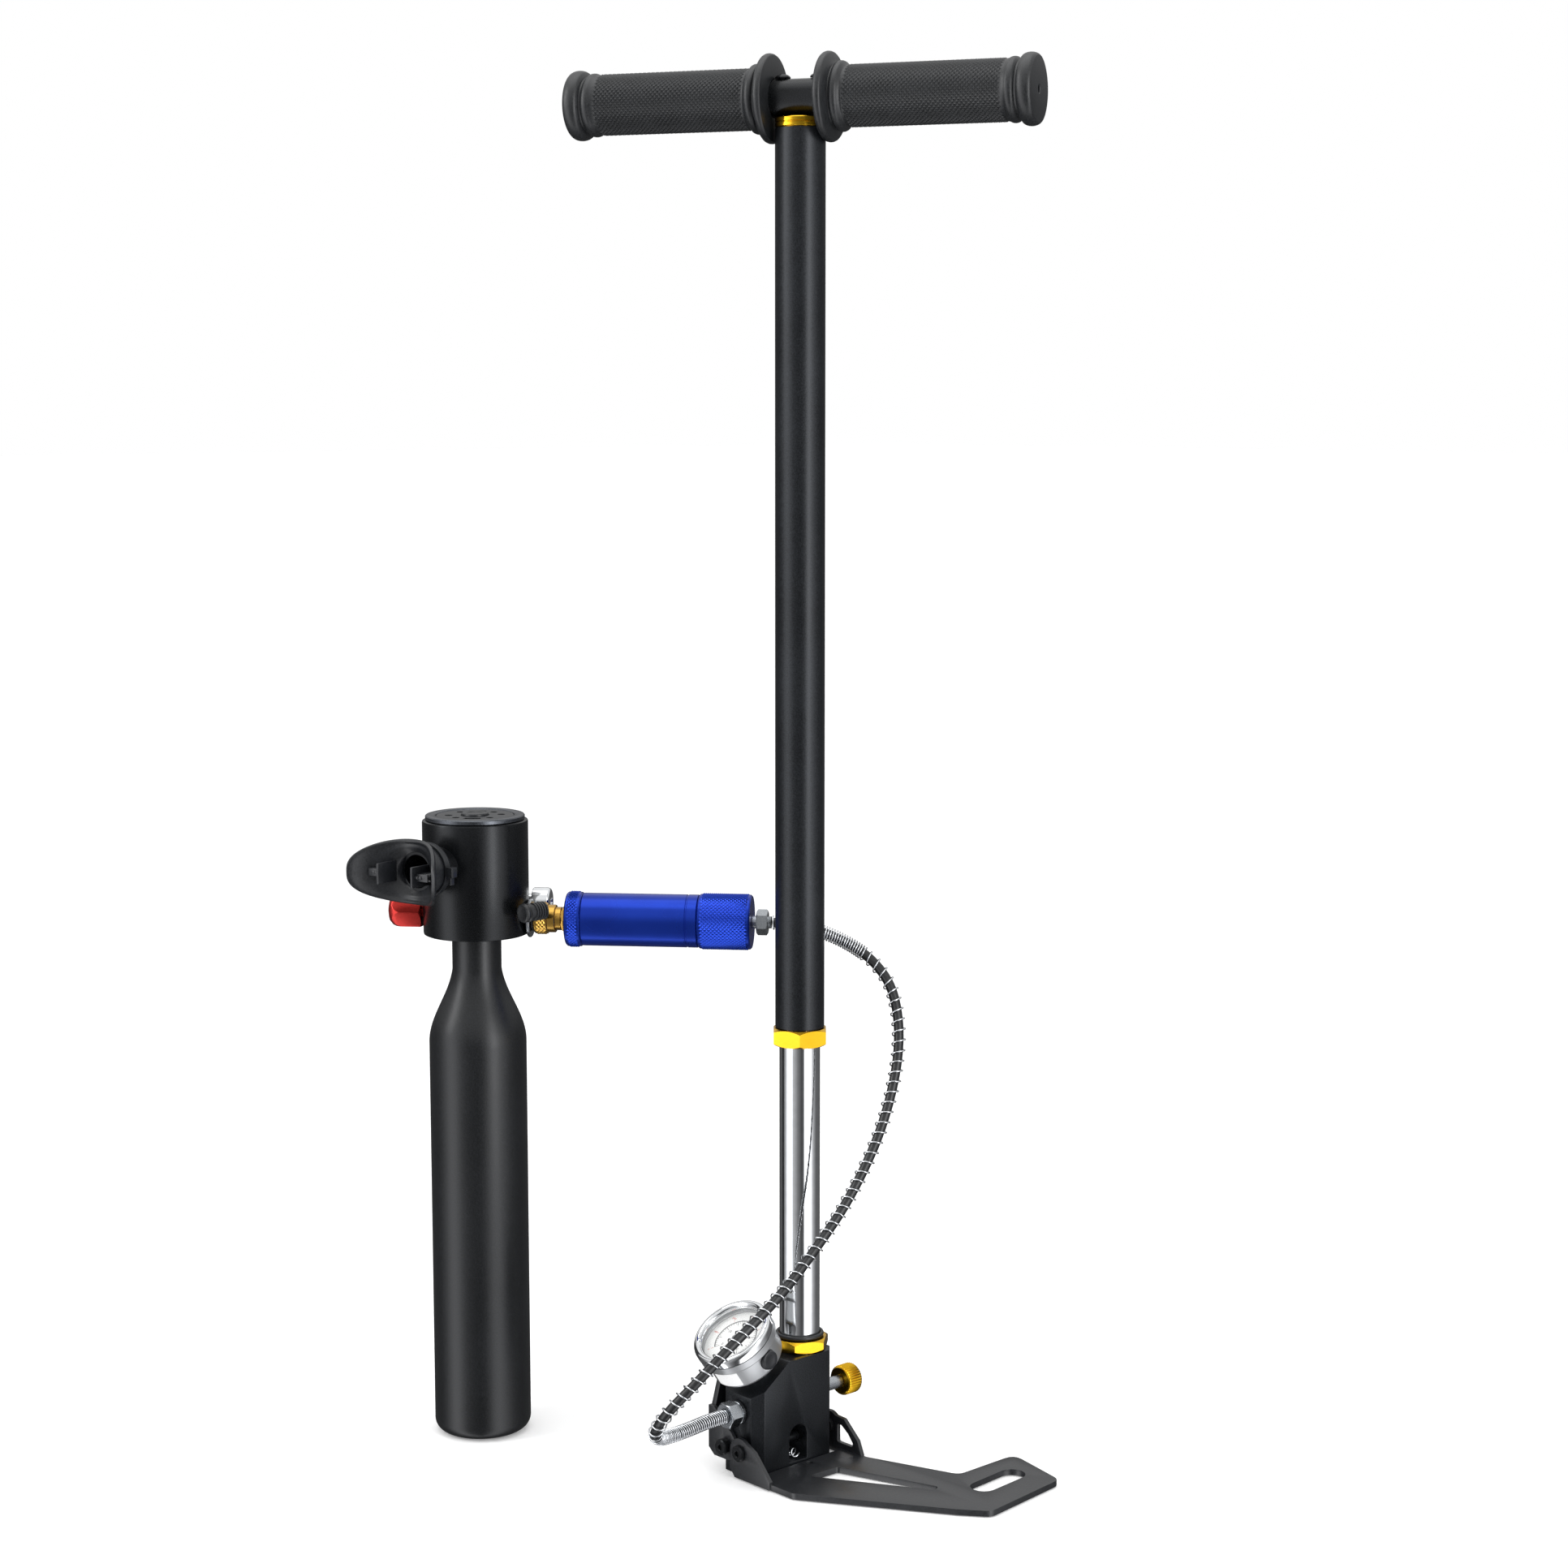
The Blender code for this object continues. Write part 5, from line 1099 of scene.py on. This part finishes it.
# %% Cylinder
WALL_RADIUS, NECK_RADIUS, SHOULDER, NECK_START, NECK_TOP = 30.5, 15.4, 253.0, 299.0, 321.0
outline = [(0, 1.5), (12, 1.2), (15, 0.15), *bead(WALL_RADIUS - 8, 8, 8, 8, -90, 0, 12)]
for number in range(25):
    part = number / 24
    draw = 0.72 * (1 - math.cos(math.pi * part)) / 2 + 0.28 * part**1.5
    height = SHOULDER + (NECK_START - SHOULDER) * part
    outline.append((WALL_RADIUS + (NECK_RADIUS - WALL_RADIUS) * draw, height))
outline += [(NECK_RADIUS, NECK_TOP - 0.3), (NECK_RADIUS - 0.3, NECK_TOP)]
outline += [(6.4, NECK_TOP), (6.4, NECK_TOP - 20), (0, NECK_TOP - 20)]
tank = turn_outline("breathing_cylinder", outline, 128)
fit(place(tank, TANK), MATT_PAINT, "base", "matte_paint", "cylinder")

# %% Head
top, foot = HOUSING_TOP, HOUSING_FOOT
cover_bore, cavity, ledge = 24.5, 22.5, HOUSING_TOP - 3
outline = [(0, foot - 12), (6, foot - 12), (6, foot), (HOUSING_RADIUS - 1.2, foot)]
outline += [(HOUSING_RADIUS - 0.3, foot + 0.4)]
outline += [(HOUSING_RADIUS, foot + 1.3), (HOUSING_RADIUS, top - 1.2), (HOUSING_RADIUS - 0.3, top - 0.4)]
outline += [(HOUSING_RADIUS - 1.1, top), (cover_bore, top), (cover_bore, ledge), (cavity, ledge)]
outline += [(cavity, foot + 30), (0, foot + 30)]
head = place(turn_outline("regulator_head", outline, 128), TANK)
port = turn_outline("mouth_port", bar_outline(12.4, cavity + 3, 54, 0.5), 64)
head = combine(head, place(port, MOUTH_FOOT, MOUTH_WAY), "UNION")
holes = (("mouth_bore", 10.4, 10, 90, MOUTH_FOOT, MOUTH_WAY), ("fill_bore", 6.3, 26, 42, FILL_FOOT, FILL_WAY))
for name, radius, near, far, spot, way in holes:
    cutter = place(turn_outline(name, bar_outline(radius, near, far), 48), spot, way)
    head = combine(head, cutter, "DIFFERENCE")
choose(head)
bpy.ops.object.shade_smooth_by_angle(angle=math.radians(32))
fit(head, SATIN_BLACK, "base", "black_anodised", "regulator_body")

# %% [markdown]
# On top, a thin ring holds a vented disc over the diaphragm. Pressing the button in its middle purges the
# mouthpiece. The disc's round and kidney-shaped holes are cut with Booleans, as a mill would cut them.

# %% Ring, vented disc and purge button
low = top + 0.3
outline = [(cover_bore, low), (30.7, low), (31, low + 0.3), (31, low + 2.2), (30.5, low + 2.8)]
outline += [(29.8, low + 3), (25.4, low + 3), (24.8, low + 2.7), (cover_bore, low + 2.3)]
ring = place(turn_outline("head_ring", outline, 128), TANK)
pin_way = math.radians(205)
pin_spot = TANK + Vector((math.cos(pin_way), math.sin(pin_way), 0)) * 27.7
cutter = place(turn_outline("spanner_hole", bar_outline(0.8, low + 1.5, low + 6, 0.1), 24), pin_spot)
ring = combine(ring, cutter, "DIFFERENCE")
# The ring's grey colour is a painted sheen of the room above, on a ring that is really black anodised.
fit(ring, RING_PAINTED_SHEEN, "base", "black_anodised", "regulator_ring")

VENT_CIRCLE, KIDNEYS = 16.35, (137, 317)
VENTS = ((55, 2.5), (235, 2.5), (97, 2.3), (177, 2.3), (277, 2.3), (357, 2.3))
disc = turn_outline("vented_disc", tube_outline(24.2, 8.9, ledge + 0.3, low + 2.4, 0.3), 128)
for number, (angle, radius) in enumerate(VENTS):
    turn = math.radians(angle)
    cutter = turn_outline("vent", bar_outline(radius, ledge - 3, low + 6), 32)
    place(cutter, Vector((math.cos(turn), math.sin(turn), 0)) * VENT_CIRCLE)
    disc = combine(disc, cutter, "DIFFERENCE")
for angle in KIDNEYS:
    deselect()
    bpy.ops.mesh.primitive_plane_add(size=1)
    kidney = bpy.context.object
    kidney.scale = Vector((4.6, 14, 1)) * MM
    kidney.rotation_euler = (math.radians(90), 0, 0)
    kidney.location = Vector((VENT_CIRCLE, 0, low)) * MM
    bpy.ops.object.transform_apply(location=True, rotation=True, scale=True)
    bpy.ops.object.mode_set(mode="EDIT")
    bpy.ops.mesh.spin(steps=12, angle=-math.radians(36), center=(0, 0, 0), axis=(0, 0, 1))
    bpy.ops.mesh.select_all(action="SELECT")
    bpy.ops.mesh.normals_make_consistent(inside=False)
    bpy.ops.object.mode_set(mode="OBJECT")
    disc = combine(disc, place(kidney, turn=angle - 18), "DIFFERENCE")
disc = round_edges(place(disc, TANK), 0.2, 2, 50)
fit(disc, PLASTIC, "base", "black_plastic", "purge_cover")

button_low, button_high = span("purge_button")
step = ledge - 1.2
outline = [(0, button_low.z), (11, button_low.z), (11, step), (8.5, step), (8.5, button_high.z - 1.2)]
outline += bead(7.5, button_high.z - 1.2, 1.0, 1.2, 0, 90, 5)
outline += [(5.2, button_high.z - 0.1), (4.8, button_high.z - 0.5)]
button = turn_outline("purge_button_moulded", [*outline, (0, button_high.z - 0.7)], 64)
fit(place(button, TANK), PLASTIC, "purge", "black_plastic", "purge_button")

# %% [markdown]
# ## The mouthpiece
#
# The diver's lips close round a wide rubber flange whose two wings sweep forward round the teeth. Inside,
# two bite tabs stand on either side of the airway: an upright plate behind the teeth and a ribbed shelf
# that the teeth close on. The flange is a grid bent in code and thickened by Solidify, then smoothed by
# a Subdivision Surface, because it has no straight line anywhere.

# %% Lip flange and sleeve
WING_HALF, WING_HEIGHT, WING_BEND, WING_THICK = 33.0, 19.0, 21.0, 2.6
FACE = HOUSING_RADIUS + 22
MOUTH_INNER = 12.7
RINGS, ROUND_STEPS = 9, 64


def wing_bend(across):
    """How far the flange has swept forward at a distance to the side of its middle."""
    return WING_BEND * (across / WING_HALF) ** 2


def flange_edge(angle):
    """The flange's outline in its own plane: a wide oval, a little squared."""
    across = math.copysign(abs(math.cos(angle)) ** 0.85, math.cos(angle)) * WING_HALF
    up = math.copysign(abs(math.sin(angle)) ** 0.8, math.sin(angle)) * WING_HEIGHT
    return across, up


def flange_point(angle, share):
    """A point between the airway's oval mouth, at share 0, and the flange's edge, at share 1."""
    inner = (13.4 * math.cos(angle), 12.4 * math.sin(angle))
    outer = flange_edge(angle)
    across = inner[0] + (outer[0] - inner[0]) * share
    up = inner[1] + (outer[1] - inner[1]) * share
    curl = 1.6 * max(0.0, share - 0.8) / 0.2
    hollow = -2.4 * max(0.0, 1 - share * 2.2)
    return across, up, FACE + wing_bend(across) + hollow + curl * (abs(up) / WING_HEIGHT) * 0.6


deselect()
bpy.ops.mesh.primitive_circle_add(vertices=ROUND_STEPS, radius=MM)
mouth = bpy.context.object
mouth.name = mouth.data.name = "mouthpiece_moulded"
bpy.ops.object.mode_set(mode="EDIT")
for number in range(RINGS + 2):
    bpy.ops.mesh.extrude_region_move(TRANSFORM_OT_translate={"value": (0, 0, 0)})
    bpy.ops.transform.resize(value=(1.2, 1.2, 1))
bpy.ops.object.mode_set(mode="OBJECT")
for vertex in mouth.data.vertices:
    ring_number = vertex.index // ROUND_STEPS
    angle = 2 * math.pi * (vertex.index % ROUND_STEPS) / ROUND_STEPS
    if ring_number < 2:
        radius = MOUTH_INNER + 1.3
        reach = HOUSING_RADIUS + 5.2 + 12 * ring_number
        vertex.co = Vector((radius * math.cos(angle), radius * math.sin(angle), reach)) * MM
    else:
        vertex.co = Vector(flange_point(angle, (ring_number - 2) / (RINGS - 1))) * MM
choose(mouth)
for name, kind in (("wall", "SOLIDIFY"), ("soft", "SUBSURF")):
    change = mouth.modifiers.new(name, kind)
    if kind == "SOLIDIFY":
        change.thickness = WING_THICK * MM
        change.offset = 0
        change.use_even_offset = True
    else:
        change.levels = change.render_levels = 1
    bpy.ops.object.modifier_apply(modifier=name)
bpy.ops.object.mode_set(mode="EDIT")
bpy.ops.mesh.select_all(action="SELECT")
bpy.ops.mesh.normals_make_consistent(inside=False)
bpy.ops.object.mode_set(mode="OBJECT")

# %% [markdown]
# A bite tab is a few soft blocks: each is a cube of its real size with rounded edges. The mouthpiece's own
# frame has X across the mouth, Y up and Z towards the diver, so one side is built and then mirrored.

# %% Bite tabs
def soft_block(name, centre, size, edge):
    """A rubber block of a given size in mm, with rounded edges."""
    deselect()
    bpy.ops.mesh.primitive_cube_add(size=MM, location=Vector(centre) * MM)
    made = bpy.context.object
    made.name = made.data.name = name
    made.scale = size
    bpy.ops.object.transform_apply(location=True, rotation=True, scale=True)
    return round_edges(made, edge)


blocks = []
for way in (-1, 1):
    plate_foot = FACE + wing_bend(13.5)
    blocks.append(soft_block("tab_plate", (13.8 * way, 0, plate_foot + 8.0), (1.8, 13.0, 17.0), 0.7))
    for number in range(4):
        across = 15.6 + 2.4 * number
        front = FACE + 17.5 - 0.4 * number
        foot = FACE + wing_bend(across)
        spot = (across * way, 0, (foot + front) / 2)
        blocks.append(soft_block("tab_shelf", spot, (2.6, 2.0, front - foot), 0.5))
    for number in range(4):
        ahead = FACE + 8.0 + 2.7 * number
        reach = min(24.0, WING_HALF * math.sqrt(max(0.0, ahead - FACE) / WING_BEND))
        across = (14.5 + reach) / 2
        blocks.append(soft_block("tab_rib", (across * way, 0, ahead), (reach - 14.5, 4.6, 0.9), 0.3))
mouth = place(join(mouth, *blocks), MOUTH_FOOT, MOUTH_WAY)
fit(mouth, SILICONE, "base", "mouth_rubber", "mouthpiece")

# %% [markdown]
# A cable tie holds the mouthpiece on its port. Its band is turned, its lock is a
# small box, and the cut end of the band sticks out of it.

# %% Cable tie
TIE_LOW = HOUSING_RADIUS + 9.5
tie = turn_outline("mouthpiece_cable_tie", tube_outline(16.8, 15.7, TIE_LOW, TIE_LOW + 4, 0.2), 120)
lock = soft_block("tie_lock", (19.0, 0, TIE_LOW + 2), (5.6, 6.4, 5.2), 0.5)
tail = soft_block("tie_tail", (19.4, -5.0, TIE_LOW + 2), (1.2, 6.0, 3.6), 0.2)
tie = place(join(tie, lock, tail), MOUTH_FOOT, MOUTH_WAY)
fit(tie, PLASTIC, "base", "black_plastic", "mouthpiece_tie")

# %% [markdown]
# ## The valve knob
#
# The red valve knob is a six-sided bar with a domed end, so a hexagon is trimmed by a turned dome.

# %% Valve knob
KNOB_FOOT = TANK + UP * (HOUSING_FOOT + 14)
reach = HOUSING_RADIUS + 0.6
knob = hexagon("valve_knob_red", 20.0, reach, reach + 21.8, 0)
dome = [(0, reach - 1), (11.6, reach - 1), (11.6, reach + 13), (10.9, reach + 16.0)]
dome += [(9.8, reach + 18.6), (7.6, reach + 20.6), (4.4, reach + 21.5), (0, reach + 21.8)]
knob = combine(knob, turn_outline("knob_dome", dome, 72), "INTERSECT")
stem = turn_outline("knob_stem", bar_outline(5, reach - 7, reach + 1), 48)
knob = place(join(round_edges(knob, 0.5, 3, 25), stem), KNOB_FOOT, -FILL_WAY)
fit(knob, RED_ANODISED, "valve", "red_anodised", "valve_knob")

# %% [markdown]
# ## Nodes that stay as they are
#
# What is inside the pump, the filter and the head is hardly seen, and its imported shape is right. Each such
# node keeps its mesh and only gets a real finish in place of its plain one.

# %% Finishes of the inner nodes
INNER_FINISH = {
    "high_pressure_tube": ZINC,
    "piston_head": BRASS,
    "piston_seal": SEAL_RUBBER,
    "piston_rod": ZINC,
    "rod_piston": BRASS,
    "gland_bush": BRASS,
    "diaphragm": SEAL_RUBBER,
    "filter_element": FELT,
    "front_spacer_left": BLACK_OXIDE,
    "front_spacer_right": BLACK_OXIDE,
    "rear_spacer_left": BLACK_OXIDE,
    "rear_spacer_right": BLACK_OXIDE,
}
for node, material in INNER_FINISH.items():
    mesh = frame["nodes"][node].data
    mesh.materials.clear()
    mesh.materials.append(material)
shown = {node for node, piece in frame["nodes"].items() if not piece.hide_render}
print("still on show:", sorted(shown), "without a finish:", sorted(shown - set(INNER_FINISH)))

# %% [markdown]
# ## Floor and light
#
# The floor is plain and pale, and it is kept out of reflections. Shiny metal only shows what stands
# round it, so the room has a dark wall with two bright strips, one on each side of the camera. They
# give the tubes their upright highlights, and the dark gap between them is the grey line down the
# chrome. Above, the room is white, and the camera itself sees a white background.

# %% Floor
deselect()
bpy.ops.mesh.primitive_plane_add(size=60, location=(0, 0, -0.0004))
floor = bpy.context.object
floor.name = floor.data.name = "floor"
floor.data.materials.append(
    finish("pale_studio_floor", "#f2f2f2", "#f8f8f8", (0.8, 0.9), 3.0, 0.001, 300.0, Emission_Strength=0.16)
)
floor.visible_glossy = False
floor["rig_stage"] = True

# %% World and lights
world = bpy.data.worlds.new("studio")
bpy.context.scene.world = world
world.use_nodes = True
tree = world.node_tree
tree.nodes.clear()
where = add_node(tree, "ShaderNodeTexCoord")
CAMERA_TURN = math.atan2(camera.location.y, camera.location.x)
turned = {"Vector": where.outputs["Generated"], "Rotation": (0, 0, -CAMERA_TURN)}
laid = add_node(tree, "ShaderNodeMapping", turned)
around = add_node(tree, "ShaderNodeTexGradient", {"Vector": laid.outputs[0]}, gradient_type="RADIAL")
wall = add_node(tree, "ShaderNodeValToRGB", {"Fac": around.outputs["Fac"]})
WALL = ((0, 0.08), (80, 0.12), (100, 0.8), (112, 2.8), (130, 2.8), (142, 0.6), (170, 0.22), (190, 0.08))
WALL += ((202, 0.12), (210, 1.8), (222, 3.0), (240, 1.9), (262, 0.5), (285, 0.15), (360, 0.08))
stops = wall.color_ramp.elements
for number, (angle, shade) in enumerate(WALL):
    stop = stops[number] if number < 2 else stops.new(angle / 360)
    stop.position = angle / 360
    stop.color = (shade, shade, shade * 1.02, 1)
heights = add_node(tree, "ShaderNodeSeparateXYZ", {"Vector": where.outputs["Generated"]})
rise = {"Value": heights.outputs["Z"], "From Min": 0.06, "From Max": 0.5}
above = add_node(tree, "ShaderNodeMapRange", rise)
room = add_node(
    tree,
    "ShaderNodeMix",
    {"Factor": above.outputs[0], 6: wall.outputs["Color"], 7: (1.0, 1.0, 1.0, 1.0)},
    data_type="RGBA",
)
studio = add_node(tree, "ShaderNodeBackground", {"Color": room.outputs[2], "Strength": 1.0})
backdrop = add_node(tree, "ShaderNodeBackground", {"Color": (1, 1, 1, 1), "Strength": 1.0})
ray = add_node(tree, "ShaderNodeLightPath")
blend = add_node(
    tree,
    "ShaderNodeMixShader",
    {0: ray.outputs["Is Camera Ray"], 1: studio.outputs[0], 2: backdrop.outputs[0]},
)
add_node(tree, "ShaderNodeOutputWorld", {"Surface": blend.outputs[0]})

LIGHTS = (
    ("key", (-0.9, -1.7, 1.5), 16.0, 0.5, 1.6),
    ("fill", (1.8, -0.1, 0.7), 13.0, 0.4, 1.8),
    ("top", (-0.1, -0.1, 2.3), 12.0, 1.6, 1.6),
)
for name, spot, power, width, height in LIGHTS:
    aim = (Vector((-0.05, -0.03, 0.4)) - Vector(spot)).to_track_quat("-Z", "Y").to_euler()
    deselect()
    bpy.ops.object.light_add(type="AREA", location=spot, rotation=aim)
    light = bpy.context.object
    light.name = name + "_softbox"
    light.data.energy = power
    light.data.shape = "RECTANGLE"
    light.data.size = width
    light.data.size_y = height
bpy.context.scene.view_settings.view_transform = "Standard"
print(len(LIGHTS), "lights")

# %% Sizes and finish
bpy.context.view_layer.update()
meshes = [piece.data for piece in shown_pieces() if piece.type == "MESH"]
triangles = sum(len(face.vertices) - 2 for mesh in meshes for face in mesh.polygons)
print("triangles in meshes:", triangles)
